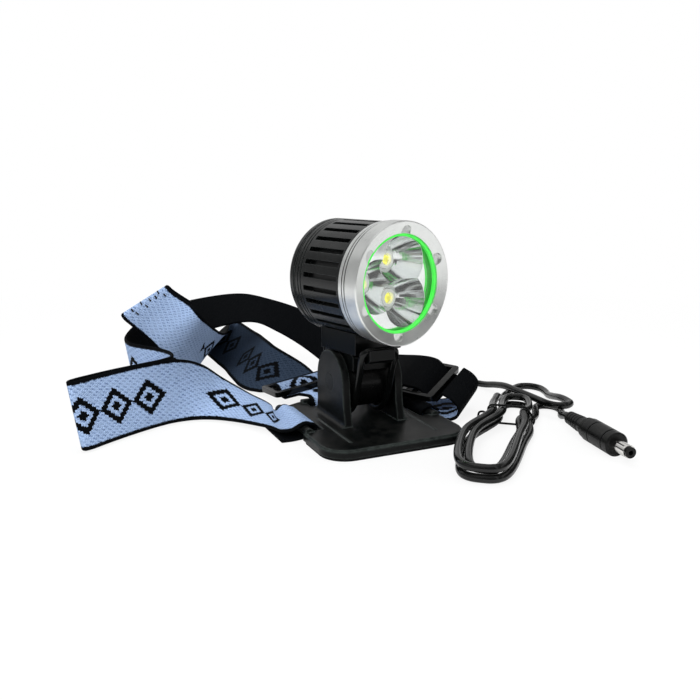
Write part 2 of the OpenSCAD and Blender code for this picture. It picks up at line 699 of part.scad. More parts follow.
// low bead along the plate, beside each ear
module rib(x) {
    translate([x, -plate_front + 9, plate_top - 0.35]) rotate([-90, 0, 0]) cylinder(h = 36, r = 0.7, $fn = 24);
}
module fillet(m, x) {
    f = 2.6;
    translate([m * (x - 0.2), -ear_r - flank_y, plate_top - 0.2]) mirror([m > 0 ? 0 : 1, 0, 0])
        rotate([90, 0, 180]) mirror([1, 0, 0]) linear_extrude(height = 2 * ear_r + flank_y) difference() {
            square([f, f]);
            translate([f, f]) circle(r = f - 0.2, $fn = 64);
        }
}

module forehead_pad() {
    color("#26272a") linear_extrude(height = pad_t - 0.02) intersection() {
        plate_outline(0.4);
        union() {
            translate([-plate_half_w, -plate_front]) square([2 * plate_half_w, plate_front + side_y0 - 2]);
            translate([-pad_half_w, -plate_front])
                square([2 * pad_half_w, plate_front + rear_bar_y - sbar_r - strap_slot - 1]);
        }
    }
}

module cradle_bar() {
    l = ear_gap - 2 * gap;
    e = ear_gap + 2 * ear_t;
    color("#131415") rotate([0, 90, 0]) translate([-bar_z, 0, 0]) union() {
        translate([0, 0, -l / 2]) cylinder(h = l, r = bar_r);
        translate([0, 0, -e / 2]) cylinder(h = e, r = journal_r);
    }
}

// ---- straps: [near edge x, y, z, width direction x, y, z] ----
sx = side_slot_x;
bx = side_bar_x;
band_route = [
    [-bx - 11, edge_y + 0.5, floor_z, 0, 1, 0],
    [-bx - 6, edge_y + 0.2, floor_z, 0, 1, 0],
    [-bx, edge_y, bar_low, 0, 1, 0],
    [-bx + 2.6, edge_y, bar_low + 0.5, 0, 1, 0],
    [-sx, edge_y, sbar_z - 1.2, 0, 1, 0],
    [-sx, edge_y, sbar_z + 1.6, 0, 1, 0],
    [-bx + 2.6, edge_y, bar_top - 0.7, 0, 1, 0],
    [-bx, edge_y, bar_top, 0.02, 1, 0.01],
    [-bx - 2.8, edge_y + 0.2, bar_top - 0.9, 0.04, 1, 0.02],
    [-bx - 5.5, edge_y + 1.2, 5.2, 0.1, 1, 0.02],
    [-bx - 9, edge_y + 5.5, 3.6, 0.2, 0.97, 0.03],
    [-43.4, 2, 3.1, 0.34, 0.93, 0.05],
    [-47.8, 10.6, 2.6, 0.44, 0.89, 0.09],
    [-54.4, 22, 1.8, 0.47, 0.85, 0.2],
    [-62.1, 30.8, 1.1, 0.35, 0.8, 0.48],
    [-69.1, 34.4, 0.8, 0.22, 0.6, 0.77],
    [-79.3, 34.6, 0.7, 0.06, 0.3, 0.95],
    [-87, 32, 0.7, -0.03, 0.2, 0.98],
    [-97.1, 26.8, 0.7, -0.08, 0.22, 0.97],
    [-106.8, 21, 0.7, -0.11, 0.24, 0.965],
    [-113.7, 16.4, 0.7, -0.13, 0.25, 0.96],
    [-119, 12.8, 0.7, -0.14, 0.25, 0.96],
    [-122, 12, 0.7, -0.13, 0.24, 0.96],
    [-122.4, 14.4, 0.7, -0.12, 0.22, 0.97],
    [-119.6, 17.2, 0.7, -0.12, 0.2, 0.97],
    [-114, 21, 0.7, -0.12, 0.17, 0.975],
    [-105, 26.8, 0.7, -0.1, 0.12, 0.98],
    [-95, 33, 0.7, -0.06, 0.05, 0.99],
    [-85, 40.5, 0.7, 0, -0.04, 1],
    [-77, 49.5, 0.7, 0, -0.1, 0.99],
    [-74.5, 60, 0.7, -0.06, -0.1, 0.99],
    [-77, 70, 0.7, -0.12, -0.06, 0.99],
    [-82, 78.5, 0.7, -0.16, 0, 0.985],
    [-86, 87, 0.7, -0.16, 0.04, 0.985],
    [-87, 96, 1, -0.12, 0.14, 0.98],
    [-83.5, 106, 4, -0.04, 0.34, 0.93],
    [-74, 116, 11, 0.02, 0.6, 0.78],
    [-59, 121, 20, 0.03, 0.8, 0.6],
    [-39, 115, 28.5, 0.02, 0.88, 0.46],
    [-17, 106, 32, 0.04, 0.9, 0.42],
    [-5, 99.5, 26.5, 0.12, 0.85, 0.5],
    [6, 92, 19, 0.3, 0.77, 0.56],
    [13, 83, 12.5, 0.55, 0.66, 0.5],
    [15.5, 70, 8.5, 0.75, 0.54, 0.4],
    [17, 56, 8.2, 0.82, 0.48, 0.3],
    [18.2, 42, 9.2, 0.82, 0.5, 0.28],
    [20.3, 24, 12, 0.8, 0.53, 0.28],
    [22.6, 12, 14.2, 0.77, 0.58, 0.27]];
band_tail = [
    [37.4, -13, 12.9, 0.78, 0.58, 0.22],
    [40.4, -17.6, 10.6, 0.78, 0.59, 0.2],
    [42, -20.6, 7, 0.76, 0.62, 0.19],
    [40.6, -20.6, 3.2, 0.72, 0.69, 0.12],
    [36.4, -16.6, 1.1, 0.4, 0.91, 0.05],
    [bx, edge_y, bar_low, 0, 1, 0],
    [bx - 2.6, edge_y, bar_low + 0.5, 0, 1, 0],
    [sx, edge_y, sbar_z - 1.2, 0, 1, 0],
    [sx, edge_y, sbar_z + 1.6, 0, 1, 0],
    [bx - 2.6, edge_y, bar_top - 0.7, 0, 1, 0],
    [bx, edge_y, bar_top, 0, 1, 0],
    [bx + 2.6, edge_y - 0.2, bar_top - 1, 0, 1, 0],
    [bx + 4.4, edge_y - 0.5, 5.4, 0, 1, 0]];
// right slider's own frame: corner, outward and width directions
rs_n = [33.3, -10, 10];
rs_a = unit([0.6, -0.8, -0.07]);
rs_u = unit([0.78, 0.6, 0.2] - ([0.78, 0.6, 0.2] * rs_a) * rs_a);
rs_k = cross(rs_a, rs_u);
rs_in = (slider_len - strap_w) / 2;
rs_slot = (slider_depth - 3 * slider_bar) / 2;
slot_s = slider_bar + rs_slot / 2;
over_k = slider_t / 2 + strap_t / 2 + air;
// a strap station on the right slider: s along it from the outer edge, h off its mid plane
function on_rs(s, h, rise = 0) =
    let (p = rs_n + rs_u * rs_in + rs_a * s + rs_k * h, u = rs_u + rs_k * rise) [p[0], p[1], p[2], u[0], u[1], u[2]];
band_slide = [
    on_rs(-slider_depth - 0.5, over_k, 0.09), on_rs(-slider_depth * 0.7, over_k, 0.1),
    on_rs(-slider_depth * 0.5, over_k, 0.07), on_rs(-slot_s - 1.9, over_k - 0.5, 0.02), on_rs(-slot_s, 0),
    on_rs(-slot_s + 1.9, 0.7 - over_k), on_rs(-slider_bar * 0.4, -over_k), on_rs(1.2, -over_k + 0.1)];
head_band_path = concat(curve(band_route, 3), curve(band_slide, 4), curve(band_tail, 3));
echo(head_band_length = path_len(head_band_path));

module head_band() {
    color("#8fa3c4") webbing(head_band_path, strap_w, strap_t);
}

rb = rear_bar_y;
strap_half = strap_w / 2;
// rear slider's own frame
ls_c = [-29, 46.5, 6.6];
ls_a = unit([0.1, -0.99, 0.06]);
ls_u = unit([0.98, 0.1, 0.12] - ([0.98, 0.1, 0.12] * ls_a) * ls_a);
ls_k = cross(ls_a, ls_u);
function on_ls(s, h) = let (p = ls_c + ls_u * rs_in + ls_a * s + ls_k * h) [p[0], p[1], p[2], ls_u[0], ls_u[1], ls_u[2]];
crown_route = [
    [-77.4, 102.6, 28.6, 0.8, -0.03, 0.6],
    [-81.4, 104, 32.4, 0.84, 0.03, 0.54],
    [-85, 105, 35.8, 0.86, 0.09, 0.5],
    [-88.4, 105.4, 39.2, 0.87, 0.14, 0.47],
    [-90.6, 104.8, 41.6, 0.87, 0.15, 0.46],
    [-91.6, 103.2, 41.6, 0.87, 0.15, 0.46],
    [-90.4, 102.4, 39.4, 0.87, 0.14, 0.46],
    [-87.6, 102.2, 36.6, 0.87, 0.11, 0.47],
    [-84, 101.6, 33, 0.85, 0.06, 0.52],
    [-79, 100, 28, 0.78, -0.05, 0.6],
    [-74, 98, 22.5, 0.66, -0.2, 0.7],
    [-67, 98.5, 16.5, 0.5, -0.3, 0.8],
    [-58, 105, 11, 0.35, -0.4, 0.84],
    [-51, 114, 7.4, 0.28, -0.5, 0.8],
    [-46.5, 124, 5.6, 0.32, -0.6, 0.73],
    [-44, 134, 5, 0.42, -0.6, 0.68],
    [-42.5, 146, 5, 0.56, -0.5, 0.66],
    [-40.5, 157, 4.6, 0.68, -0.3, 0.66],
    [-37, 162.4, 4, 0.74, -0.14, 0.66],
    [-33.8, 160, 3.4, 0.76, -0.08, 0.66],
    [-32.6, 150, 2.6, 0.76, -0.06, 0.66],
    [-32, 136, 1.8, 0.75, -0.06, 0.66],
    [-31.8, 121, 1.6, 0.74, -0.06, 0.67],
    [-33, 107, 1.6, 0.72, -0.05, 0.69],
    [-33.7, 94, 1.4, 0.71, -0.02, 0.7],
    [-34, 82, 1.2, 0.74, 0.03, 0.67],
    [-32, 72, 1.4, 0.82, 0.08, 0.56],
    [-28.6, 64, 2.2, 0.92, 0.1, 0.38]];
ls_s = slider_bar / 2 + rs_slot / 2;
ls_w = rs_slot / 2 - 0.7;
crown_slide = [on_ls(0.4 - slider_depth / 2, -over_k - 0.1), on_ls(-ls_s - ls_w - 1.7, -over_k),
    on_ls(-ls_s - ls_w, 0.2 - over_k), on_ls(-ls_s, 0), on_ls(ls_w - ls_s, over_k - 0.2),
    on_ls(-slider_bar / 4, over_k + 0.15), on_ls(slider_bar / 4, over_k + 0.15),
    on_ls(ls_s - ls_w, over_k - 0.2), on_ls(ls_s, 0), on_ls(ls_s + ls_w, 0.2 - over_k),
    on_ls(ls_s + ls_w + 1.7, -over_k), on_ls(slider_depth / 2 - 0.4, -over_k - 0.1)];
crown_end = [
    [-18.5, rb + 6, 7.6, 0.99, 0.05, 0.06],
    [-strap_half, rb + 1.4, bar_top - 0.2, 1, 0, 0],
    [-strap_half, rb - 1.2, bar_top - 0.3, 1, 0, 0],
    [-strap_half, rear_slot_y + 0.6, sbar_z + 2, 1, 0, 0],
    [-strap_half, rear_slot_y + 0.6, sbar_z - 1.4, 1, 0, 0],
    [-strap_half, rb - 1.6, bar_low + 0.2, 1, 0, 0],
    [-strap_half, rb + 1.5, bar_low - 0.2, 1, 0, 0],
    [-strap_half, rb + 5, floor_z, 1, 0, 0],
    [-strap_half, rb + 11, floor_z, 1, 0, 0]];
overhead_path = concat(curve(crown_route, 3), curve(crown_slide, 3), curve(crown_end, 3));
echo(overhead_strap_length = path_len(overhead_path));

module overhead_strap() {
    color("#8fa3c4") webbing(overhead_path, strap_w, strap_t);
}

// flat three-bar slider: c = one corner, a = along the strap, u = across it
module tri_glide(c, a, u, k) {
    multmatrix([[u[0], a[0], k[0], c[0]], [u[1], a[1], k[1], c[1]], [u[2], a[2], k[2], c[2]], [0, 0, 0, 1]])
        translate([0, -slider_depth, 0]) linear_extrude(height = slider_t, center = true) difference() {
            union() {
                translate([slider_rd, 0]) square([slider_len - 2 * slider_rd, slider_depth]);
                translate([0, slider_rd]) square([slider_len, slider_depth - 2 * slider_rd]);
                for (x = [slider_rd, slider_len - slider_rd], y = [slider_rd, slider_depth - slider_rd])
                    translate([x, y]) circle(r = slider_rd, $fn = 32);
            }
            for (y = [slider_bar, 2 * slider_bar + rs_slot])
                translate([rs_in - 1, y]) square([strap_w + 2, rs_slot]);
        }
}
slider_rd = 2.4;
module right_slider() { color("#131314") tri_glide(rs_n, rs_a, rs_u, -rs_k); }
module rear_slider() { color("#131314") tri_glide(ls_c + ls_a * slider_depth / 2, ls_a, ls_u, -ls_k); }

// rows of stitches through the sewn end of the overhead strap
module strap_stitching() {
    P = curve(crown_route, 3);
    color("#0c0c0c") for (i = [16, 18], f = [0.22:0.19:0.8]) {
        b = part3(P[i]);
        u = unit(wide3(P[i]));
        n = unit(cross(heading(P, i), u));
        q = b + u * sw * f + n * (strap_t / 2);
        translate(q) sphere(r = stitch_r, $fn = 16);
    }
}

// ---- lead ----
lead_r = lead_d / 2;
yaw_f = [sin(lamp_yaw), -cos(lamp_yaw), 0];
gland_end = yaw_f * (cap_back - gland_len) + [0, 0, lamp_z - gland_drop];
lead_back = -yaw_f;
lead_join = [0, lead_y, foot_top + 1];
seam = 0.02;
lead_route = [gland_end + lead_back * lead_d, gland_end + lead_back * 6 + [0.6, 0, -1.2],
    gland_end + lead_back * 8 + [2, 0.4, -5], [-4.5, 33.8, 43.6], [-1.4, 28.6, 41.4],
    lead_join + [0, 0, 2]];
lead_path = concat([gland_end + lead_back * seam], curve(lead_route, 3), [lead_join + [0, 0, seam]]);
run_route = [lead_join + [0, 0, -2], [0.2, 25.6, 33], [1, 26, 28], [4, 26.6, 22.6], [9.4, 26.6, 17.6],
    [14.6, 27.6, 13], [18.6, 30.6, 7.6], [25, 34.6, 3.4], [34, 38, 1.9], [45, 39, 1.9], [60, 40, 1.9], [72, 40.8, 1.9],
    [80.6, 38.8, 1.9], [86.4, 33, 2], [88.6, 25.6, 2.7], [89.1, 17, 4.6], [89, 8, 6.1], [88.8, -3, 6.2],
    [88.7, -14, 6.2], [88.5, -21, 6.2], [88.4, -27, 6.2], [90.2, -31.8, 6.2], [94.4, -33.6, 6.2], [98.6, -31.8, 6.2],
    [100.6, -27.4, 6.1], [102.2, -20, 5.6], [104.8, -11.6, 3.8], [108, -4, 2.2], [111.2, 2.4, 1.9], [112.8, 9, 1.9],
    [110.8, 14.6, 1.9], [105.8, 16.8, 1.9], [100.4, 15, 1.9], [95, 11.4, 1.9], [89.6, 7.6, 1.9], [84.8, 3.6, 2],
    [79.6, -1, 3]];

// hank: turns that spiral in on the upper layer and out again on the lower one
hank_c = [48.6, -48.2];
hank_dir = [0.65, 0.76];
hank_half = 48;
hank_bulge = 5.2;
hank_belly = 2.4;
hank_square = 0.45;
hank_pitch = 4.3;
waist_x = 21;
waist_y = 2.6;
waist_pitch = 4.6;
waist_s = 9;
hank_a0 = 30;
hank_a1 = 360 * hank_turns - 28;
hank_rings = 24;
layer_z = [1.95, 6.05];
waist_lift = 1.25;
bow = 6;
bow_x = 4;
bow_s = 6.5;
hank_off = -1.4;
function hank_q(a) = abs(a - (hank_a0 + hank_a1) / 2) / 360;
// layer height: a half turn about the middle carries the climb
function hank_z(a) = let (m = (hank_a0 + hank_a1) / 2, t = max(0, min(1, (a - m + 90) / 180)))
    mix(layer_z[1], layer_z[0], (1 - cos(180 * t)) / 2);
// a turn is a squared ellipse, moved out along its normal by the pitch and drawn in at the waist
function hank_local(a) =
    let (q = hank_q(a), s = sin(a), x0 = hank_half * cos(a), f = 1 / (1 + exp((x0 - bow_x) / bow_s)))
    let (b = hank_bulge + hank_belly * f)
    let (n = unit([hank_square * b * cos(a), hank_half * sign(s) * pow(abs(s), 2 - hank_square)]))
    let (x = x0 + hank_pitch * q * n[0], y = b * sign(s) * pow(abs(s), hank_square) + hank_pitch * q * n[1])
    let (g = exp(-pow((x - waist_x) / waist_s, 2)), w = s / sqrt(s * s + 0.06) * (waist_y + waist_pitch * q))
    [x, mix(y, w, g) + hank_off + bow * f, hank_z(a) + waist_lift * g];
function hank_world(p) = [hank_c[0] + hank_dir[0] * p[0] - hank_dir[1] * p[1],
    hank_c[1] + hank_dir[1] * p[0] + hank_dir[0] * p[1], p[2]];
hank_n = ceil(hank_rings * (hank_a1 - hank_a0) / 360);
hank_path = [for (i = [0:hank_n]) hank_world(hank_local(mix(hank_a0, hank_a1, i / hank_n)))];
hank_in = unit(hank_path[1] - hank_path[0]);
hank_out = unit(hank_path[hank_n] - hank_path[hank_n - 1]);
hank_tube = concat([hank_path[0] - hank_in * lead_d], hank_path, [hank_path[hank_n] + hank_out * lead_d]);
hank_near = [for (i = [0:hank_n - 8]) min([for (j = [i + 8:hank_n]) norm(hank_path[i] - hank_path[j])])];
echo(hank_least_gap = min(hank_near) - lead_d);
echo(hank_length = path_len(hank_tube));
hank_start = hank_tube[0];
hank_end = hank_tube[len(hank_tube) - 1];
run_path = concat([lead_join], curve(concat(run_route, [hank_start - hank_in * lead_d]), 2), [hank_start]);
echo(run_length = path_len(run_path));
echo(lead_length = path_len(lead_path));

plug_a = -100.8;
plug_0 = [85.4, -47.4, plug_r];
plug_dir = [cos(plug_a), sin(plug_a), 0];
plug_route = [hank_end + hank_out * lead_r / 2, [89.4, -18, 1.9], [92.9, -17.3, 1.9], [96, -19, 1.9],
    [97.6, -22.2, 1.9], [96.9, -26.6, 1.9], [94.2, -31.2, 1.9], [90.2, -35.8, 2.5], [87.4, -40.2, 4],
    plug_0 - plug_dir * lead_d];
plug_path = concat([hank_end], curve(plug_route, 3), [plug_0]);
echo(plug_lead_length = path_len(plug_path));

module cable_lead() {
    color("#0d0d0e") tube(lead_path, lead_r, 8, [1, 0, 0]);
}

module cable_run() {
    color("#0d0d0e") tube(run_path, lead_r, 8, [1, 0, 0]);
}

module cable_hank() {
    color("#0d0d0e") union() {
        tube(hank_tube, lead_r, 6, [0, 0, 1]);
    }
}

// wire tie round the hank's waist, with a small loop where its ends are twisted
tie_r = 0.5;
tie_y = waist_y - hank_off / 2 + waist_pitch * hank_q(hank_a0) + lead_r + ease + tie_r;
tie_top = layer_z[1] + waist_lift + lead_r + ease + tie_r;
tie_low = tie_r + 0.05;
tie_c = 2.2;
function tie_pt(y, z) = hank_world([waist_x, y, z]);
function tie_corner(y, z, a) = [for (k = [0:4]) let (b = a + 22.5 * k) tie_pt(y + tie_c * cos(b), z + tie_c * sin(b))];
tie_path = concat(
    tie_corner(tie_y - tie_c, tie_top - tie_c, 0), tie_corner(tie_c - tie_y, tie_top - tie_c, 90),
    tie_corner(tie_c - tie_y, tie_low + tie_c, 180), tie_corner(tie_y - tie_c, tie_low + tie_c, 270));
module hank_tie() {
    color("#0f0f10") union() {
        loop_tube(tie_path, tie_r, 6, tie_pt(0, (tie_top + tie_low) / 2));
        tube(curve([tie_pt(tie_y, 4), tie_pt(tie_y + 2.4, 5.8), tie_pt(tie_y + 4.6, 5.4), tie_pt(tie_y + 5.4, 3),
            tie_pt(tie_y + 4, 1.2), tie_pt(tie_y + 1.6, 1.4)], 3), tie_r, 6, [0, 0, 1]);
    }
}

// ---- plug ----
module plug() { translate(plug_0) rotate([0, 0, plug_a]) rotate([0, 90, 0]) children(); }
relief_n = 5;
module plug_relief() {
    pitch = (relief_len - 3) / relief_n;
    color("#141415") plug() union() {
        cylinder(h = relief_len - fit, r1 = lead_r + 0.9, r2 = plug_r - 1.4);
        for (i = [0:relief_n - 1])
            translate([0, 0, 0.4 + i * pitch]) cylinder(h = pitch * 0.6, r = lead_r + 1.35 + 0.16 * i);
    }
}
module plug_body() {
    g = 0.45;
    color("#161618") plug() rotate_extrude() polygon([
        [0, relief_len], [plug_r - 1.1, relief_len], [plug_r - 0.5, relief_len + 1.2], [plug_r - 0.5, relief_len + 3.4],
        [plug_r - 0.5 - g, relief_len + 3.4], [plug_r - 0.5 - g, relief_len + 4.2], [plug_r, relief_len + 4.2],
        [plug_r, relief_len + 9], [plug_r - g, relief_len + 9], [plug_r - g, relief_len + 9.8], [plug_r, relief_len + 9.8],
        [plug_r, relief_len + plug_len - 5], [plug_r - g, relief_len + plug_len - 5],
        [plug_r - g, relief_len + plug_len - 4.2], [plug_r, relief_len + plug_len - 4.2],
        [plug_r, relief_len + plug_len - 0.8], [plug_r - 0.8, relief_len + plug_len], [0, relief_len + plug_len]]);
}
tip_len = 1.3;
slit_turn = 37;
barrel_0 = relief_len + plug_len;
module plug_barrel() {
    l = barrel_len - tip_len;
    color("#d7d9dc") plug() translate([0, 0, barrel_0 + 0.02]) difference() {
        cylinder(h = l - 0.04, r = barrel_d / 2);
        translate([0, 0, 0.5]) cylinder(h = l, r = barrel_bore / 2 + 0.6 + fit);
        rotate([0, 0, slit_turn]) translate([-barrel_d, -0.25, 1.6]) cube([barrel_d, 0.5, l - 3]);
    }
}
module plug_tip() {
    l = barrel_len - tip_len;
    color("#1a1a1b") plug() difference() {
        union() {
            translate([0, 0, barrel_0 + 0.6]) cylinder(h = l, r = barrel_bore / 2 + 0.6);
            translate([0, 0, barrel_0 + l + 0.01]) cylinder(h = tip_len, r = barrel_d / 2 - 0.4);
        }
        translate([0, 0, barrel_0 + 1.6]) cylinder(h = barrel_len, r = barrel_bore / 2, $fn = 48);
    }
}

module plug_lead() {
    color("#0d0d0e") tube(plug_path, lead_r, 8, [0, 0, 1]);
}

base_plate();
forehead_pad();
cradle_bar();
head_band();
overhead_strap();
rear_slider();
right_slider();
strap_stitching();
saddle_foot();
saddle_lining();
rubber_ring();
swivel_washer();
swivel_screw();
mount_block();
block_screws();
housing();
rear_cap();
rear_seal();
bezel_seal();
bezel();
lens();
green_ring();
reflector();
led_board();
emitters();
centring_rings();
driver_board();
board_spacer();
switch_body();
switch_button();
cable_gland();
cable_lead();
cable_run();
cable_hank();
plug_lead();
hank_tie();
plug_relief();
plug_body();
plug_barrel();
plug_tip();
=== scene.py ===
# %% [markdown]
# # A miner's cap lamp
# A round lamp with three emitters tips and swivels on a flat base plate, two elastic straps hold the plate
# to the head, and a lead runs back to a battery pack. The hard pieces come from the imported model. This
# notebook gives them their finishes, and makes the soft pieces that the model only stands in for: the
# knitted straps, the pad, the rubber ring and the lead.

# %% Load the model
import bpy, bmesh, math
import numpy as np
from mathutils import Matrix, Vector


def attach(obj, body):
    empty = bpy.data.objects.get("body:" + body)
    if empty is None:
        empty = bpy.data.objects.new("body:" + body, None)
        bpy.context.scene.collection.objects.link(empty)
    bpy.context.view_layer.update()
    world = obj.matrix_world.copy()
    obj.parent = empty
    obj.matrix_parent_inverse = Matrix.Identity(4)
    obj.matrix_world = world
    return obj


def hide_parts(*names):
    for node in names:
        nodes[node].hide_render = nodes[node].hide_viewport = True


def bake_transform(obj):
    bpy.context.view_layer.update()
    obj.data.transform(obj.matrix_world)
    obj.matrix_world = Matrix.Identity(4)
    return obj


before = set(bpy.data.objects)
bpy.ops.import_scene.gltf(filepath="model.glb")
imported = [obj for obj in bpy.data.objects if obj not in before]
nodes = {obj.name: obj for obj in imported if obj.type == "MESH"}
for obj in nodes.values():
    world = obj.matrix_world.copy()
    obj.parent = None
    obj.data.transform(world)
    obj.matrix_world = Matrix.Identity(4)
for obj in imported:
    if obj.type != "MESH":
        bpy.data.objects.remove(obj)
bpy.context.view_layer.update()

# %% [markdown]
# ## Camera
# The camera is set first, because it decides what has to look right up close. It stands to the left of the
# lamp, a little above it, and looks down by about 13 degrees.

# %% Camera
eye = bpy.data.objects.new("eye", bpy.data.cameras.new("eye"))
bpy.context.collection.objects.link(eye)
eye.location = (-0.1463, -0.3109, 0.1126)
eye.rotation_euler = (math.radians(77.35), 0, math.radians(-24.5))
eye.data.lens, eye.data.sensor_width = 39.13, 36
eye.data.clip_start = 0.01
bpy.context.scene.camera = eye
print("camera at", tuple(round(c, 3) for c in eye.location))

# %% [markdown]
# ## Lines through points
# Straps and leads follow lines. A line is given by a few stations, and a centripetal Catmull-Rom curve goes
# through all of them without loops or overshoot. The same curve carries the strap's width direction along,
# when each station holds six numbers: a point on the strap's near edge and the way across the strap.

# %% Line helpers
def unit(v):
    """Each row of v divided by its own length."""
    v = np.asarray(v, float)
    return v / np.linalg.norm(v, axis=-1, keepdims=True)

def through(stations, steps):
    """Centripetal Catmull-Rom: knots stand apart by the root of the distance, and each span blends three
    straight lines twice, so that the curve passes through every station."""
    p = np.asarray(stations, float)
    q = np.vstack([2 * p[0] - p[1], p, 2 * p[-1] - p[-2]])
    a, b, c, d = q[:-3], q[1:-2], q[2:-1], q[3:]
    knot = lambda m, n: (np.sqrt(np.linalg.norm((n - m)[:, :3], axis=1)) + 0.001)[:, None, None]
    t1 = knot(a, b); t2 = t1 + knot(b, c); t3 = t2 + knot(c, d)
    t = t1 + (t2 - t1) * (np.arange(steps) / steps)[None, :, None]
    a, b, c, d = (x[:, None, :] for x in (a, b, c, d))
    mix = lambda m, n, s: m + (n - m) * s
    a1, a2, a3 = mix(a, b, t / t1), mix(b, c, (t - t1) / (t2 - t1)), mix(c, d, (t - t2) / (t3 - t2))
    b1, b2 = mix(a1, a2, t / t2), mix(a2, a3, (t - t1) / (t3 - t1))
    line = mix(b1, b2, (t - t1) / (t2 - t1)).reshape(-1, p.shape[1])
    return np.vstack([line, p[-1]])

def travelled(line):
    """Distance along the line at each of its points."""
    return np.r_[0, np.cumsum(np.linalg.norm(np.diff(line[:, :3], axis=0), axis=1))]

def evenly(line, gap):
    """The same line with its points a steady gap apart."""
    s = travelled(line)
    at = np.linspace(0, s[-1], max(2, int(round(s[-1] / gap)) + 1))
    return np.column_stack([np.interp(at, s, column) for column in line.T])

# %% Mesh helper
same_place = 1e-6

def surface(name, points, faces, uv=None, smooth=True):
    """A mesh object from an array of points and an array of quads, with one UV pair for each corner. A ring
    shrunk to one place becomes one point. The volume is the sum of the tetrahedra under the faces, and where
    it is negative, every face is turned round."""
    mesh = bpy.data.meshes.new(name)
    faces = np.asarray(faces, np.int32)
    mesh.vertices.add(len(points))
    mesh.vertices.foreach_set("co", np.asarray(points, np.float32).ravel())
    mesh.loops.add(faces.size)
    mesh.loops.foreach_set("vertex_index", faces.ravel())
    mesh.polygons.add(len(faces))
    mesh.polygons.foreach_set("loop_start", np.arange(0, faces.size, faces.shape[1], dtype=np.int32))
    mesh.polygons.foreach_set("use_smooth", np.full(len(faces), smooth))
    if uv is not None:
        mesh.uv_layers.new(name="surface")
        mesh.uv_layers["surface"].data.foreach_set("uv", np.asarray(uv, np.float32).ravel())
    mesh.update(calc_edges=True)
    work = bmesh.new()
    work.from_mesh(mesh)
    bmesh.ops.remove_doubles(work, verts=work.verts, dist=same_place)
    if work.calc_volume(signed=True) < 0:
        bmesh.ops.reverse_faces(work, faces=work.faces)
    work.to_mesh(mesh)
    work.free()
    piece = bpy.data.objects.new(name, mesh)
    bpy.context.collection.objects.link(piece)
    return piece

def wrap(rows, columns, closed_rows=False):
    """Quads of a grid whose columns close on themselves, and whose rows may too."""
    i = np.arange(rows if closed_rows else rows - 1)[:, None]
    j = np.arange(columns)[None, :]
    near, far, j2 = i * columns, (i + 1) % rows * columns, (j + 1) % columns
    quad = np.stack(np.broadcast_arrays(near + j, near + j2, far + j2, far + j), -1)
    return quad.reshape(-1, 4)

# %% [markdown]
# ## The lead
# The lead is a round rubber cable, 3.5 mm thick. It leaves a gland on the lamp's rear cap, turns down into
# a guide on the foot, and runs from there to a hank that a wire tie holds. Past the hank it ends in a plug.
# It is swept as a mesh tube, because a tube keeps its exact thickness in tight turns. The stations are in
# millimetres, listed from where the lead leaves one piece to where it enters the next.

# %% Lead sizes and route
mm = 0.001
lead_r = 1.75 * mm
yaw = math.radians(14.6)
lead_back = np.array([-math.sin(yaw), math.cos(yaw), 0])
gland_z, gland_reach = 53.9, 29.3
gland_end = np.array([0, 0, gland_z]) + lead_back * gland_reach
guide = np.array([0, 25.3, 38.0])
down = np.array([0, 0, -1.0])
stub = 3.5  # the lead goes straight for this far where it leaves the gland and the hank and enters the plug
per_span, main_gap, lamp_gap = 24, 1.1, 0.8  # points between two stations, then mm between the tube's rings

lamp_lead = np.vstack([gland_end, gland_end + lead_back * stub, gland_end + lead_back * 6 + [0.6, 0, -1.2],
    gland_end + lead_back * 8 + [2, 0.4, -5], [-4.5, 33.8, 43.6], [-1.4, 28.6, 41.4],
    guide - down * 2, guide])
run = [guide, guide + down * 2, [0.2, 25.6, 33], [1, 26, 28], [4, 26.6, 22.6], [9.4, 26.6, 17.6],
    [14.6, 27.6, 13], [18.6, 30.6, 7.6], [25, 34.6, 3.4], [34, 38, 1.9], [45, 39, 1.9], [60, 40, 1.9],
    [72, 40.8, 1.9], [80.6, 38.8, 1.9], [86.4, 33, 2], [88.6, 25.6, 2.7], [89.1, 17, 4.6], [89, 8, 6.1],
    [88.8, -3, 6.2], [88.7, -14, 6.2], [88.5, -21, 6.2], [88.4, -27, 6.2], [90.2, -31.8, 6.2],
    [94.4, -33.6, 6.2], [98.6, -31.8, 6.2], [100.6, -27.4, 6.1], [102.2, -20, 5.6], [104.8, -11.6, 3.8],
    [108, -4, 2.2], [111.2, 2.4, 1.9], [112.8, 9, 1.9], [110.8, 14.6, 1.9], [105.8, 16.8, 1.9],
    [100.4, 15, 1.9], [95, 11.4, 1.9], [89.6, 7.6, 1.9], [84.8, 3.6, 2], [79.6, -1, 3]]

# %% [markdown]
# The hank is the same turn three times: a squared ellipse, long and narrow, that grows by a little more
# than the lead's thickness with each turn and is drawn in at the waist where the tie holds it. The turns
# spiral in on the upper layer and out again on the lower one, so one unbroken lead makes them all.

# %% Hank
hank_at, hank_way = np.array([48.6, -48.2]), np.array([0.65, 0.76])
hank = dict(half=48, bulge=5.2, belly=2.4, square=0.45, pitch=4.3, waist_x=21, waist_y=2.6, waist_pitch=4.6,
    waist_s=9, start=30, end=1052, upper=6.05, lower=1.95, lift=1.25, bow=6, bow_x=4, bow_s=6.5, off=-1.4)

def from_hank(x, y, z):
    """From the hank's own frame, x along it and y across, to the scene's."""
    return np.stack([hank_at[0] + hank_way[0] * x - hank_way[1] * y,
                     hank_at[1] + hank_way[1] * x + hank_way[0] * y, z], -1)

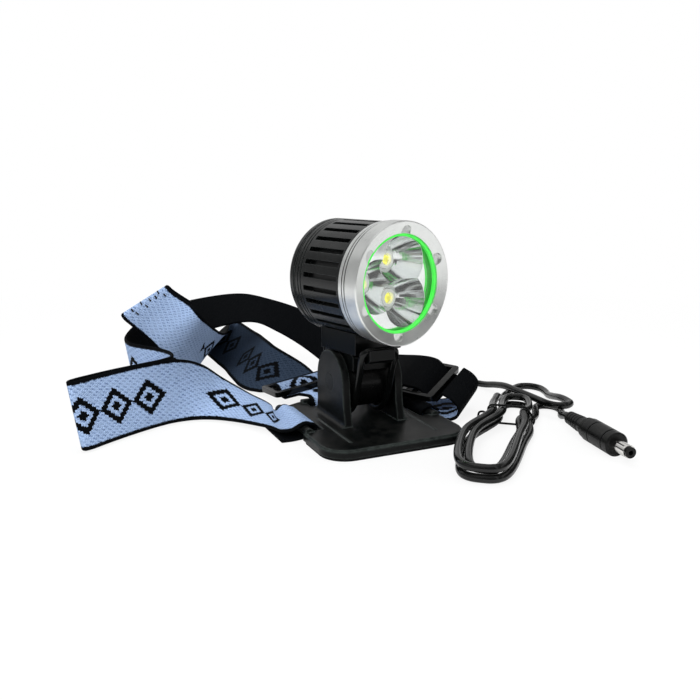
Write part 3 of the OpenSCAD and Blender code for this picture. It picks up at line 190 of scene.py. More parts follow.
def hank_line(degrees, h=hank):
    """x = half times cosine, y = half width times sine to the power square, both moved out along the turn's
    own normal by pitch times the turns from the middle, then y drawn in by a bell curve at the waist."""
    a, middle = np.radians(degrees), (h["start"] + h["end"]) / 2
    turns, s, c = np.abs(degrees - middle) / 360, np.sin(a), np.cos(a)
    x0 = h["half"] * c
    wide = 1 / (1 + np.exp((x0 - h["bow_x"]) / h["bow_s"]))
    half_width = h["bulge"] + h["belly"] * wide
    normal = unit(np.column_stack([h["square"] * half_width * c,
                                   h["half"] * np.sign(s) * np.abs(s) ** (2 - h["square"])]))
    x = x0 + h["pitch"] * turns * normal[:, 0]
    y = half_width * np.sign(s) * np.abs(s) ** h["square"] + h["pitch"] * turns * normal[:, 1]
    bell = np.exp(-((x - h["waist_x"]) / h["waist_s"]) ** 2)
    y += (s / np.sqrt(s * s + 0.06) * (h["waist_y"] + h["waist_pitch"] * turns) - y) * bell
    y += h["off"] + h["bow"] * wide
    climb = np.clip((degrees - middle + 90) / 180, 0, 1)
    z = h["upper"] + (h["lower"] - h["upper"]) * (1 - np.cos(np.pi * climb)) / 2 + h["lift"] * bell
    return from_hank(x, y, z)

rings, finer = 72, 12
turn, turn_fine = (hank_line(np.linspace(hank["start"], hank["end"], n)) for n in (rings, rings * finer))
into, out = unit(turn[1] - turn[0]), unit(turn[-1] - turn[-2])
plug_at, plug_angle = np.array([85.4, -47.4, 5.25]), math.radians(-100.8)
plug_way = np.array([math.cos(plug_angle), math.sin(plug_angle), 0])
plug_lead = [turn[-1] + out * stub, [89.4, -18, 1.9], [92.9, -17.3, 1.9], [96, -19, 1.9],
    [97.6, -22.2, 1.9], [96.9, -26.6, 1.9], [94.2, -31.2, 1.9], [90.2, -35.8, 2.5], [87.4, -40.2, 4],
    plug_at - plug_way * stub, plug_at]
main_line = np.vstack([through(np.vstack(run + [turn[0] - into * 2 * stub, turn[0] - into * stub]), per_span),
                       turn_fine, through(np.vstack(plug_lead), per_span)])
main_line = evenly(main_line, main_gap) * mm
lamp_line = evenly(through(lamp_lead, per_span), lamp_gap) * mm
main_length, lamp_length = (float(travelled(line)[-1]) for line in (main_line, lamp_line))
print("lead:", round(lamp_length, 4), "m at the lamp and", round(main_length, 4), "m to the plug")

# %% [markdown]
# A tube needs a side direction at every ring. Carrying the last one along, less the part of it that points
# along the line, keeps the tube from twisting.

# %% Tube helper
def carried(line, first):
    """Side vectors along a line: each is the one before it, made square to the line again."""
    along = unit(np.gradient(line, axis=0))
    side, sides = np.asarray(first, float), []
    for way in along:
        side = unit(side - way * side.dot(way))
        sides.append(side)
    return along, np.array(sides)

def circles(line, along, side, radius, around):
    """Rings round the line: point = line + radius (cos t side + sin t across)."""
    across = np.cross(along, side)
    t = np.linspace(0, 2 * np.pi, around, endpoint=False)[None, :, None]
    return line[:, None] + radius * (np.cos(t) * side[:, None] + np.sin(t) * across[:, None])

def corner_uv(u, left, right, i, j):
    """One UV pair for each corner of quad (i, j): u runs from ring to ring, and left and right hold the
    other coordinate at the quad's two sides."""
    return np.stack([np.stack([u[i], left[j]], -1), np.stack([u[i], right[j]], -1),
                     np.stack([u[i + 1], right[j]], -1), np.stack([u[i + 1], left[j]], -1)], 1)

def tube(name, line, radius, around=20, first=(0, 0, 1)):
    """Rings round the line, closed at both ends by a ring shrunk to the line's own end. U and V are the
    distances along and round it, in centimetres."""
    body = circles(line, *carried(line, first), radius, around)
    head, tail = line[0] + 0 * body[0], line[-1] + 0 * body[-1]
    points = np.concatenate([head[None], body, tail[None]])
    u = np.r_[0, travelled(line), travelled(line)[-1]] * 100
    v = np.arange(around + 1) / around * 2 * np.pi * radius * 100
    i, j = np.divmod(np.arange((len(points) - 1) * around), around)
    return surface(name, points.reshape(-1, 3), wrap(len(points), around), corner_uv(u, v[:-1], v[1:], i, j))

# %% Lead tubes
lamp_cable = tube("lamp_cable", lamp_line, lead_r, 20, (1, 0, 0))
main_cable = tube("main_cable", main_line, lead_r, 20, (1, 0, 0))
print(len(main_cable.data.vertices), "points on the main lead")

# %% [markdown]
# The tie is a plastic-coated wire, closed round the waist of the hank, with its ends twisted into a small
# loop at one side. It follows the outline of circles drawn round every pass of the lead.

# %% Wire tie
tie_r, tie_ease = 0.5, 0.05
tie_ends = [(0, 4), (2, 5.8), (4, 5.4), (4.4, 3), (3, 1.2), (0.8, 1.4)]  # mm past the winding, mm up

def on_waist(y, z):
    """A place on the tie's plane: y across the hank, z up."""
    return from_hank(*np.broadcast_arrays(float(hank["waist_x"]), y, z))

def crossings(line, x):
    """Where a line in the hank's own frame passes the plane at x: the two points either side are blended."""
    v = line - np.r_[hank_at, 0]
    p = np.column_stack([v[:, 0] * hank_way[0] + v[:, 1] * hank_way[1],
                         v[:, 1] * hank_way[0] - v[:, 0] * hank_way[1], v[:, 2]])
    i = np.flatnonzero(np.diff(np.sign(p[:, 0] - x)))
    k = ((x - p[i, 0]) / (p[i + 1, 0] - p[i, 0]))[:, None]
    return (p[i] + (p[i + 1] - p[i]) * k)[:, 1:]

def hull(points):
    """The convex outline, by walking the points in order from each side and dropping every right turn."""
    def half(rows):
        kept = []
        for p in rows:
            while len(kept) > 1 and np.cross(kept[-1] - kept[-2], p - kept[-2]) <= 0: kept.pop()
            kept.append(p)
        return kept[:-1]
    rows = points[np.lexsort((points[:, 1], points[:, 0]))]
    return np.array(half(rows) + half(rows[::-1]))

held = crossings(turn_fine, hank["waist_x"])
t = np.linspace(0, 2 * np.pi, 33)[:-1]
around = held[:, None] + (lead_r / mm + tie_r + tie_ease) * np.stack([np.cos(t), np.sin(t)], -1)
around = around.reshape(-1, 2)
around[:, 1] = np.maximum(around[:, 1], tie_r)
wound = hull(around)
wound = np.vstack([wound, wound[:2]])
tie_line = on_waist(wound[:, 0], wound[:, 1])
loop_line = through([on_waist(wound[:, 0].max() + y, z) for y, z in tie_ends], 10)
tie_band = tube("tie_band", evenly(tie_line, 0.5) * mm, tie_r * mm, 12, (1, 0, 0))
tie_loop = tube("tie_loop", evenly(loop_line, 0.4) * mm, tie_r * mm, 12)
print("tie", round(travelled(tie_line)[-1], 1), "mm round", len(held), "passes of the lead")

# %% [markdown]
# ## The straps
# Both straps are knitted elastic, 30 mm wide and 1.3 mm thick, light blue-grey on the face and black on the
# back, with black edges. Elastic lies in easy folds that a few stations describe well: where the near edge
# runs, and which way the width points. The band's section is flat with round edges.

# %% Band helper
band_w, band_t = 30.0, 1.3
strap_span = 12  # points between two stations of a strap
back_v = 4.0  # what V is more on a strap's back than on its face, in cm

def elastic(name, path, face, gap=1.0, across=30):
    """A closed band: for each station, points go across the front at +t/2, round the far edge in a half
    circle, back across at -t/2 and round the near edge. face is +1 where the light side is on the normal's
    side and -1 where it is on the other. V holds the place across in cm, from 0 to 3 on the face and from 4
    to 7 on the back, and is -1 on the edges. U holds the distance along in cm."""
    p = evenly(path, gap)
    edge, side = p[:, :3], unit(p[:, 3:6])
    normal = unit(np.cross(unit(np.gradient(edge, axis=0)), side))
    blur = np.exp(-0.5 * (np.arange(-3, 4) / 1.4) ** 2)
    padded = np.pad(normal, ((3, 3), (0, 0)), mode="edge")
    normal = unit(sum(w * padded[k:k + len(normal)] for k, w in enumerate(blur)))
    r = band_t / 2
    bend = np.radians(np.array([60, 30, 0, -30, -60]))
    x = np.linspace(r, band_w - r, across)
    place = np.r_[x, band_w - r + r * np.cos(bend), x[::-1], r - r * np.cos(bend)]
    height = np.r_[np.full(across, r), r * np.sin(bend), np.full(across, -r), -r * np.sin(bend)]
    points = edge[:, None] + side[:, None] * place[None, :, None] + normal[:, None] * height[None, :, None]
    rows, columns = points.shape[:2]
    start, end = ((edge[k] + side[k] * band_w / 2)[None] + 0 * points[k] for k in (0, -1))
    points = np.concatenate([start[None], points, end[None]])
    u = np.r_[0, travelled(p), travelled(p)[-1]] / 10
    top = np.arange(columns) < across - 1
    low = (np.arange(columns) >= across + 5) & (np.arange(columns) < 2 * across + 4)
    light = top if face > 0 else low
    v0, v1 = (np.where(top | low, x, -10) / 10 + np.where((top | low) & ~light, back_v, 0)
              for x in (place, np.roll(place, -1)))
    i, j = np.divmod(np.arange((rows + 1) * columns), columns)
    uv = corner_uv(u, v0, v1, i, j)
    uv[(i == 0) | (i == rows), :, 1] = -1
    print(name, round(travelled(p)[-1]), "mm long")
    return surface(name, points.reshape(-1, 3) * mm, wrap(rows + 2, columns), uv)

# %% [markdown]
# The head band starts under the plate's left bar, goes over it and out to the far left, turns back behind
# itself, climbs over the crest, comes down to the slider on the right and ends round the right bar. Its
# tail lies under each bar. A station is the near edge's place in millimetres and the way across the band.

# %% Head band route
edge_y, bar_x, turn_x, slot_x = -12.5, 31.5, 28.9, 26.85

def round_bar(m, last=(0, 1, 0)):
    """The wrap round a side bar, on the left for m = -1: under the bar, up through the slot, over the bar."""
    places = [(bar_x, 1.4), (turn_x, 1.9), (slot_x, 3.4), (slot_x, 6.2), (turn_x, 7.1), (bar_x, 7.8)]
    stations = [[m * x, edge_y, z, 0, 1, 0] for x, z in places]
    stations[-1][3:] = last
    return stations

left_part = [[-42.5, -12, 0.75, 0, 1, 0], [-37.5, -12.3, 0.75, 0, 1, 0]] + round_bar(-1, (0.02, 1, 0.01)) + [
    [-34.3, -12.3, 6.9, 0.04, 1, 0.02],
    [-37, -11.3, 5.2, 0.1, 1, 0.02], [-40.5, -7, 3.6, 0.2, 0.97, 0.03], [-43.4, 2, 3.1, 0.34, 0.93, 0.05],
    [-47.8, 10.6, 2.6, 0.44, 0.89, 0.09], [-54.4, 22, 1.8, 0.47, 0.85, 0.2],
    [-62.1, 30.8, 1.1, 0.35, 0.8, 0.48], [-69.1, 34.4, 0.8, 0.22, 0.6, 0.77],
    [-79.3, 34.6, 0.7, 0.06, 0.3, 0.95], [-87, 32, 0.7, -0.03, 0.2, 0.98],
    [-97.1, 26.8, 0.7, -0.08, 0.22, 0.97], [-106.8, 21, 0.7, -0.11, 0.24, 0.965],
    [-113.7, 16.4, 0.7, -0.13, 0.25, 0.96], [-119, 12.8, 0.7, -0.14, 0.25, 0.96],
    [-122, 12, 0.7, -0.13, 0.24, 0.96], [-122.4, 14.4, 0.7, -0.12, 0.22, 0.97],
    [-119.6, 17.2, 0.7, -0.12, 0.2, 0.97], [-114, 21, 0.7, -0.12, 0.17, 0.975],
    [-105, 26.8, 0.7, -0.1, 0.12, 0.98], [-95, 33, 0.7, -0.06, 0.05, 0.99],
    [-85, 40.5, 0.7, 0, -0.04, 1], [-77, 49.5, 0.7, 0, -0.1, 0.99], [-74.5, 60, 0.7, -0.06, -0.1, 0.99],
    [-77, 70, 0.7, -0.12, -0.06, 0.99], [-82, 78.5, 0.7, -0.16, 0, 0.985],
    [-86, 87, 0.7, -0.16, 0.04, 0.985], [-87, 96, 1, -0.12, 0.14, 0.98],
    [-83.5, 106, 4, -0.04, 0.34, 0.93], [-74, 116, 11, 0.02, 0.6, 0.78], [-59, 121, 20, 0.03, 0.8, 0.6],
    [-39, 115, 28.5, 0.02, 0.88, 0.46], [-17, 106, 32, 0.04, 0.9, 0.42], [-5, 99.5, 26.5, 0.12, 0.85, 0.5],
    [6, 92, 19, 0.3, 0.77, 0.56], [13, 83, 12.5, 0.55, 0.66, 0.5], [15.5, 70, 8.5, 0.75, 0.54, 0.4],
    [17, 56, 8.2, 0.82, 0.48, 0.3], [18.2, 42, 9.2, 0.82, 0.5, 0.28], [20.3, 24, 12, 0.8, 0.53, 0.28],
    [22.6, 12, 14.2, 0.77, 0.58, 0.27]]
right_part = [
    [37.4, -13, 12.9, 0.78, 0.58, 0.22], [40.4, -17.6, 10.6, 0.78, 0.59, 0.2],
    [42, -20.6, 7, 0.76, 0.62, 0.19], [40.6, -20.6, 3.2, 0.72, 0.69, 0.12],
    [36.4, -16.6, 1.1, 0.4, 0.91, 0.05]] + round_bar(1) + [
    [34.1, -12.7, 6.8, 0, 1, 0], [35.9, -13, 5.4, 0, 1, 0]]

# %% [markdown]
# A slider is a flat frame with a middle bar between two slots. The strap comes up through one slot, crosses
# the bar and goes down through the other, so its stations there are given in the slider's own directions.

# %% Slider frames
slider_bar, slider_slot, over = 3.2, 5.2, 2.3
slot_at, edge_in = slider_bar + slider_slot / 2, 3.75
right_edge, rear_middle = np.array([33.3, -10, 10]), np.array([-29, 46.5, 6.6])

def slider_frame(outward, across):
    """Three directions square to each other: outward along the strap, across it, and off the slider."""
    a = unit(outward)
    u = unit(np.array(across) - np.dot(across, a) * a)
    return a, u, np.cross(a, u)

right_a, right_u, right_k = slider_frame([0.6, -0.8, -0.07], [0.78, 0.6, 0.2])
rear_a, rear_u, rear_k = slider_frame([0.1, -0.99, 0.06], [0.98, 0.1, 0.12])

def on_right(s, h, rise=0):
    """Station s mm along the right slider from its outer edge and h mm off its middle plane."""
    p = right_edge + right_u * edge_in + right_a * s + right_k * h
    return np.r_[p, right_u + right_k * rise]

def on_rear(s, h):
    """The same on the rear slider, from its middle."""
    p = rear_middle + rear_u * edge_in + rear_a * s + rear_k * h
    return np.r_[p, rear_u]

over_slider = [on_right(-20.5, over, 0.09), on_right(-14, over, 0.1), on_right(-10, over, 0.07),
    on_right(-slot_at - 1.9, over - 0.5, 0.02), on_right(-slot_at, 0), on_right(-slot_at + 1.9, 0.7 - over),
    on_right(-1.28, -over), on_right(1.2, -over + 0.1)]
head_path = np.vstack([through(part, strap_span) for part in (left_part, over_slider, right_part)])
head_web = elastic("head_web", head_path, face=-1)

# %% [markdown]
# The overhead strap is sewn to itself round the head band at the crest, drops behind the band, folds back
# near the rear, and comes forward through the rear slider to the plate's rear bar.

# %% Overhead strap route
crown_part = [
    [-77.4, 102.6, 28.6, 0.8, -0.03, 0.6], [-81.4, 104, 32.4, 0.84, 0.03, 0.54],
    [-85, 105, 35.8, 0.86, 0.09, 0.5], [-88.4, 105.4, 39.2, 0.87, 0.14, 0.47],
    [-90.6, 104.8, 41.6, 0.87, 0.15, 0.46], [-91.6, 103.2, 41.6, 0.87, 0.15, 0.46],
    [-90.4, 102.4, 39.4, 0.87, 0.14, 0.46], [-87.6, 102.2, 36.6, 0.87, 0.11, 0.47],
    [-84, 101.6, 33, 0.85, 0.06, 0.52], [-79, 100, 28, 0.78, -0.05, 0.6], [-74, 98, 22.5, 0.66, -0.2, 0.7],
    [-67, 98.5, 16.5, 0.5, -0.3, 0.8], [-58, 105, 11, 0.35, -0.4, 0.84], [-51, 114, 7.4, 0.28, -0.5, 0.8],
    [-46.5, 124, 5.6, 0.32, -0.6, 0.73], [-44, 134, 5, 0.42, -0.6, 0.68], [-42.5, 146, 5, 0.56, -0.5, 0.66],
    [-40.5, 157, 4.6, 0.68, -0.3, 0.66], [-37, 162.4, 4, 0.74, -0.14, 0.66],
    [-33.8, 160, 3.4, 0.76, -0.08, 0.66], [-32.6, 150, 2.6, 0.76, -0.06, 0.66],
    [-32, 136, 1.8, 0.75, -0.06, 0.66], [-31.8, 121, 1.6, 0.74, -0.06, 0.67],
    [-33, 107, 1.6, 0.72, -0.05, 0.69], [-33.7, 94, 1.4, 0.71, -0.02, 0.7],
    [-34, 82, 1.2, 0.74, 0.03, 0.67], [-32, 72, 1.4, 0.82, 0.08, 0.56], [-28.6, 64, 2.2, 0.92, 0.1, 0.38]]
up_to_bar = [(9.6, -2.4), (7.8, -2.3), (6.1, -2.1), (4.2, 0), (2.3, 2.1), (0.8, 2.45)]
through_rear = [on_rear(-s, h) for s, h in up_to_bar] + [on_rear(s, h) for s, h in up_to_bar[::-1]]
rear_part = [
    [-18.5, 33, 7.6, 0.99, 0.05, 0.06], [-15, 28.4, 7.6, 1, 0, 0], [-15, 25.8, 7.5, 1, 0, 0],
    [-15, 22.95, 6.6, 1, 0, 0], [-15, 22.95, 3.2, 1, 0, 0], [-15, 25.4, 1.6, 1, 0, 0],
    [-15, 28.5, 1.2, 1, 0, 0], [-15, 32, 0.75, 1, 0, 0], [-15, 38, 0.75, 1, 0, 0]]
crown_line, *behind = (through(part, strap_span) for part in (crown_part, through_rear, rear_part))
crown_web = elastic("crown_web", np.vstack([crown_line, *behind]), face=1)

# %% [markdown]
# The folded end is sewn down with black thread: two rows of stitches go through both layers, each stitch a
# small arc of thread that dips into the cloth at its ends.

# %% Stitches
def stitched(path, places, reach=1.5):
    """Each stitch is half an ellipse along the strap, centred on a place given by a row of the path and the
    distance across: it starts a little under the face, rises 0.4 mm over it, and goes down again."""
    threads, t = [], np.linspace(0, np.pi, 9)
    sunk, rise = 0.2, 0.6
    for row, across in places:
        at, side = path[row, :3], unit(path[row, 3:6])
        way = unit(path[row + 1, :3] - path[row - 1, :3])
        normal = unit(np.cross(way, side))
        threads.append(at + side * across - way * (reach / 2 * np.cos(t))[:, None]
                       + normal * (band_t / 2 - sunk + rise * np.sin(t))[:, None])
    return threads

def joined(name, pieces):
    """Several meshes as one, with their UVs kept."""
    with bpy.context.temp_override(active_object=pieces[0], selected_editable_objects=pieces):
        bpy.ops.object.join()
    pieces[0].name = pieces[0].data.name = name
    return pieces[0]

thread_r = 0.4
stitches = stitched(crown_line, [(65, 6.5), (62, 12.5), (66, 17.5), (62, 23.5),
                                 (75, 7.5), (73, 14), (68, 21), (74, 25.5)])
sewing = joined("sewing", [tube("stitch", s * mm, thread_r * mm, 8) for s in stitches])
wire_tie = joined("wire_tie", [tie_band, tie_loop])
print(len(stitches), "stitches")

# %% [markdown]
# ## The pad
# A thin sheet of foam rubber lies under the plate. Its outline is the plate's, drawn in a little, and a
# small round profile is carried along that outline for the rim. Rings that shrink towards the middle close
# it.

# %% Pad
pad_front, pad_step, pad_back, pad_wide, pad_narrow = -44.6, -17.0, 18.9, 33.6, 23.6
pad_round, nick, back_nick, pad_t = 11.5, 0.2, 0.3, 1.18
quarter = np.radians(np.linspace(0, 90, 9))
arc = [pad_wide, pad_front] + pad_round * np.column_stack([np.sin(quarter) - 1, 1 - np.cos(quarter)])
half = np.vstack([[[0, pad_front]], arc, [
    [pad_wide, pad_step - nick], [pad_wide - nick, pad_step], [pad_narrow + nick, pad_step],
    [pad_narrow, pad_step + nick], [pad_narrow, pad_back - back_nick], [pad_narrow - back_nick, pad_back],
    [0, pad_back]]])
outline = np.vstack([half, half[-2:0:-1] * [-1, 1], half[:1]])
outline = evenly(np.column_stack([outline, 0 * outline[:, 0]]), 1)[:-1, :2]

def slab(name, outline, height, centre, rim=0.45):
    """A closed slab: the rim is a half circle of radius rim joined by a straight wall, carried round the
    outline, and both faces are the same outline drawn in towards the centre."""
    way = unit(np.roll(outline, -1, 0) - np.roll(outline, 1, 0))
    inward = np.column_stack([-way[:, 1], way[:, 0]])
    bend = np.radians([90, 60, 30, 0])
    inset = np.r_[rim * (1 - np.cos(bend)), rim * (1 - np.cos(bend[::-1]))]
    level = np.r_[rim * (1 - np.sin(bend)), height - rim * (1 - np.sin(bend[::-1]))]
    ring_at = lambda flat, z: np.column_stack([flat, np.full(len(flat), z)])
    rings = [ring_at(outline + inward * i, z) for i, z in zip(inset, level)]
    shrink = [0, 0.2, 0.4, 0.6, 0.8, 0.93]
    low, high = ([ring_at(centre + (ring[:, :2] - centre) * k, z) for k in shrink]
                 for ring, z in ((rings[0], 0), (rings[-1], height)))
    points = np.array(low + rings + high[::-1])
    rows, around = points.shape[:2]
    return surface(name, points.reshape(-1, 3) * mm, wrap(rows, around)[:, ::-1])

pad = slab("foam_pad", outline, pad_t, np.array([0, pad_step - 1]))
print("pad", (np.ptp(outline, axis=0)).round(1), "mm")

# %% [markdown]
# ## The rubber ring
# One ring of round rubber ties the foot to its bar. It crosses the foot under each horn, runs down both
# sides and goes round beneath the bar. Half of the path is written down, and the other half is that one
# turned by 180 degrees about the upright axis. The path is closed, so the side vectors of its tube point
# away from a fixed middle in place of being carried.

# %% Ring
bar_z, ring_z, ring_out, wrap_r, strand_x, ring_r = 22, 39.5, 21.3, 14.3, 8, 1.65
cross_half, ring_soft, ring_tuck, per_station = strand_x - 2.2, 0.65, 0.15, 8
low_angle = np.arctan2(ring_z - bar_z, ring_out) - np.arccos(wrap_r / np.hypot(ring_out, ring_z - bar_z))

def on_bar(t):
    """A place on the circle round the bar whose radius is the bar's and the ring's."""
    return [strand_x, wrap_r * np.cos(t), bar_z + wrap_r * np.sin(t)]

def side(m):
    """One side on its way down, m = -1 at the back: it bends away from the crossing, as round as its own
    stiffness makes it, and runs straight to where it meets the bar's circle."""
    _, y, z = on_bar(low_angle)
    return [[strand_x - ring_soft, m * (ring_out - ring_tuck), ring_z - ring_soft]] + [
        [strand_x, m * (ring_out + (y - ring_out) * k), ring_z + (z - ring_z) * k] for k in (0.11, 0.5)]

half_loop = np.array([[cross_half * k / 2, ring_out, ring_z] for k in range(-2, 3)] + side(1)
    + [on_bar(t) for t in np.linspace(low_angle, -np.pi - low_angle, 13)] + side(-1)[::-1])
loop = np.vstack([half_loop, half_loop * [-1, -1, 1]])
start, stop = 3 * per_station, (3 + len(loop)) * per_station + 1
loop = evenly(through(np.vstack([loop[-3:], loop, loop[:4]]), per_station)[start:stop], 0.6)[:-1]

def closed_tube(name, line, radius, middle, around=24):
    """A ring's tube, whose side vectors point away from the middle, made square to the line."""
    along = unit(np.roll(line, -1, 0) - np.roll(line, 1, 0))
    away = line - middle
    side = unit(away - along * (away * along).sum(1, keepdims=True))
    points = circles(line, along, side, radius, around)
    return surface(name, points.reshape(-1, 3), wrap(len(line), around, True))

rubber_loop = closed_tube("rubber_loop", loop * mm, ring_r * mm, np.array([0, 0, bar_z + 5]) * mm)
print("ring", round(travelled(loop)[-1], 1), "mm round")

# %% [markdown]
# ## What rides on what
# Each new piece hides the solids it stands for and moves with the body that carries it. The two leads are
# fixed where they lie, and hide the solids of the lead.

# %% Ride and replace
for piece, body, stands_for in (
        (head_web, "base", "head_band"), (crown_web, "base", "overhead_strap"),
        (sewing, "base", "strap_stitching"), (pad, "base", "forehead_pad"),
        (rubber_loop, "foot", "rubber_ring"), (wire_tie, "base", "hank_tie")):
    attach(piece, body)
    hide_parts(stands_for)
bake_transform(main_cable)
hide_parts("cable_run", "cable_hank", "plug_lead")
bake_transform(lamp_cable)
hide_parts("cable_lead")

# %% [markdown]
# ## Finishes
# Materials are node trees. A small wrapper lets a formula be written as a formula: each value is a socket,
# and adding or multiplying two of them adds a Math node.

# %% Formula helper
class Term:
    """A socket that arithmetic works on. Every operation adds one Math node to the same tree."""
    def __init__(self, tree, socket): self.tree, self.socket = tree, socket
    def math(self, operation, *others):
        node = self.tree.nodes.new("ShaderNodeMath")
        node.operation = operation
        for slot, value in zip(node.inputs, (self,) + others): fill(self.tree, slot, value)
        return Term(self.tree, node.outputs[0])
    def __add__(self, o): return self.math("ADD", o)
    def __sub__(self, o): return self.math("SUBTRACT", o)
    def __mul__(self, o): return self.math("MULTIPLY", o)
    def __truediv__(self, o): return self.math("DIVIDE", o)
    __radd__, __rmul__ = __add__, __mul__
    def __rsub__(self, o): return (self * -1) + o
    def floor(self): return self.math("FLOOR")
    def part(self): return self.math("FRACT")
    def abs(self): return self.math("ABSOLUTE")
    def over(self, o): return self.math("GREATER_THAN", o)
    def under(self, o): return self.math("LESS_THAN", o)
    def most(self, o): return self.math("MAXIMUM", o)
    def least(self, o): return self.math("MINIMUM", o)
    def mod(self, o): return self.math("FLOORED_MODULO", o)
    def clamped(self): return self.most(0.0).least(1.0)

def fill(tree, slot, value):
    """A Term is linked to the slot, and a number, vector or colour is written on it."""
    if isinstance(value, Term): tree.links.new(value.socket, slot)
    else: slot.default_value = value

def add(tree, kind, links=None, **settings):
    """A node with its settings, and with inputs given by name or number as Terms or values."""
    node = tree.nodes.new(kind)
    for key, value in settings.items(): setattr(node, key, value)
    for key, value in (links or {}).items(): fill(tree, node.inputs[key], value)
    return node

def out(tree, node, name=0): return Term(tree, node.outputs[name])

def place(tree, kind="Object"): return out(tree, add(tree, "ShaderNodeTexCoord"), kind)

def apart(tree, vector):
    """The three numbers of a vector."""
    node = add(tree, "ShaderNodeSeparateXYZ", {"Vector": vector})
    return [out(tree, node, k) for k in range(3)]

def pair(tree, u, v): return out(tree, add(tree, "ShaderNodeCombineXYZ", {0: u, 1: v}))

def vector_math(tree, operation, links, name):
    return out(tree, add(tree, "ShaderNodeVectorMath", links, operation=operation), name)

def dot(tree, a, b): return vector_math(tree, "DOT_PRODUCT", {0: a, 1: b}, "Value")

def scaled(tree, colour, amount): return vector_math(tree, "SCALE", {0: colour, "Scale": amount}, "Vector")

def noise(tree, at, scale, detail=2.0, roughness=0.5):
    """Smooth noise around a half."""
    return out(tree, add(tree, "ShaderNodeTexNoise",
        {"Vector": at, "Scale": scale, "Detail": detail, "Roughness": roughness}), "Fac")

def blend_colours(tree, amount, low, high):
    """A colour between two others, each a Term or three numbers."""
    low, high = (c if isinstance(c, Term) else tuple(c) + (1.0,) for c in (low, high))
    return out(tree, add(tree, "ShaderNodeMix", {0: amount, 6: low, 7: high}, data_type="RGBA"), 2)

def range_of(tree, value, a, b, low, high):
    """value moved from a..b to low..high, and held at the ends."""
    return out(tree, add(tree, "ShaderNodeMapRange",
        {"Value": value, "From Min": a, "From Max": b, "To Min": low, "To Max": high}))

def group(name, inputs, outputs, build):
    """A node group with named sockets. build gets the tree and its inputs, and returns the outputs."""
    tree = bpy.data.node_groups.new(name, "ShaderNodeTree")
    for label, value in inputs.items():
        kind = "NodeSocketVector" if isinstance(value, tuple) else "NodeSocketFloat"
        tree.interface.new_socket(label, in_out="INPUT", socket_type=kind).default_value = value
    for label in outputs:
        kind = "NodeSocketVector" if label == "Normal" else "NodeSocketFloat"
        tree.interface.new_socket(label, in_out="OUTPUT", socket_type=kind)
    start, end = tree.nodes.new("NodeGroupInput"), tree.nodes.new("NodeGroupOutput")
    made = build(tree, {label: Term(tree, start.outputs[label]) for label in inputs})
    for label, value in made.items(): tree.links.new(value.socket, end.inputs[label])
    return tree

def use(tree, shared, **values):
    """The shared group placed in a material. Words in a value's name are joined by an underscore."""
    node = tree.nodes.new("ShaderNodeGroup")
    node.node_tree = shared
    for key, value in values.items(): fill(tree, node.inputs[key.replace("_", " ")], value)
    return {o.name: Term(tree, o) for o in node.outputs}

# %% [markdown]
# Moulded plastic has a fine spark-eroded grain, a faint change of shade over a few centimetres, and edges
# polished by handling, which are painted paler both for that wear and as a painted highlight. One group makes
# the grain as a height and the shade as a value. Another finds edges by comparing the true normal with one
# rounded over half a millimetre.

# %% Shared groups for surfaces
origin = (0.0, 0.0, 0.0)

def grain_inside(t, i):
    """Height = fine noise with a little coarse noise; shade = slow noise pulled towards one."""
    fine = noise(t, i["Place"], i["Fineness"], 2.0, 0.6)
    slow = noise(t, i["Place"], 70.0, 3.0, 0.5)
    spots = noise(t, i["Place"], 420.0, 4.0, 0.7)
    shade = range_of(t, slow, 0.3, 0.7, 1 - i["Uneven"], 1 + i["Uneven"])
    return {"Height": fine + slow * 0.15, "Shade": shade, "Spots": range_of(t, spots, 0.62, 0.7, 0.0, 1.0)}
grain = group("moulded grain", {"Place": origin, "Fineness": 2600.0, "Uneven": 0.12},
              ("Height", "Shade", "Spots"), grain_inside)

def edge_inside(t, i):
    """Mask = one less the dot product of the true normal with the rounded one, widened and broken up."""
    rounded = out(t, add(t, "ShaderNodeBevel", {"Radius": i["Width"]}, samples=4))
    true = out(t, add(t, "ShaderNodeNewGeometry"), "True Normal")
    sharp = range_of(t, 1 - dot(t, rounded, true), 0.004, 0.09, 0.0, 1.0)
    broken = range_of(t, noise(t, i["Place"], 300.0, 3.0), 0.3, 0.6, 0.35, 1.0)
    return {"Mask": sharp * broken, "Normal": rounded}
edges = group("worn and highlighted edges", {"Place": origin, "Width": 0.0004}, ("Mask", "Normal"), edge_inside)

def dust_inside(t, i):
    """Dust settles where the normal points up, in a patchy film."""
    up = apart(t, out(t, add(t, "ShaderNodeNewGeometry"), "Normal"))[2]
    patchy = range_of(t, noise(t, i["Place"], 160.0, 5.0, 0.65), 0.42, 0.66, 0.0, 1.0)
    return {"Mask": (range_of(t, up, 0.1, 0.95, 0.15, 1.0) * patchy * i["Amount"]).clamped()}
dust = group("settled dust", {"Place": origin, "Amount": 0.2}, ("Mask",), dust_inside)
print("shared groups:", [g.name for g in bpy.data.node_groups])

# %% Material helper
dust_colour = (0.3, 0.29, 0.27)

def finish_of(name, **sockets):
    """A material with one Principled shader. Numbers go straight on its sockets."""
    material = bpy.data.materials.new(name)
    material.use_nodes = True
    tree = material.node_tree
    shader = tree.nodes["Principled BSDF"]
    for key, value in sockets.items(): shader.inputs[key.replace("_", " ")].default_value = value
    return material, tree, shader

def feed(tree, shader, **values):
    for key, value in values.items(): tree.links.new(value.socket, shader.inputs[key.replace("_", " ")])

def bump(tree, height, distance, strength=1.0, normal=None):
    links = {"Height": height, "Distance": distance, "Strength": strength}
    if normal is not None: links["Normal"] = normal
    return out(tree, add(tree, "ShaderNodeBump", links))

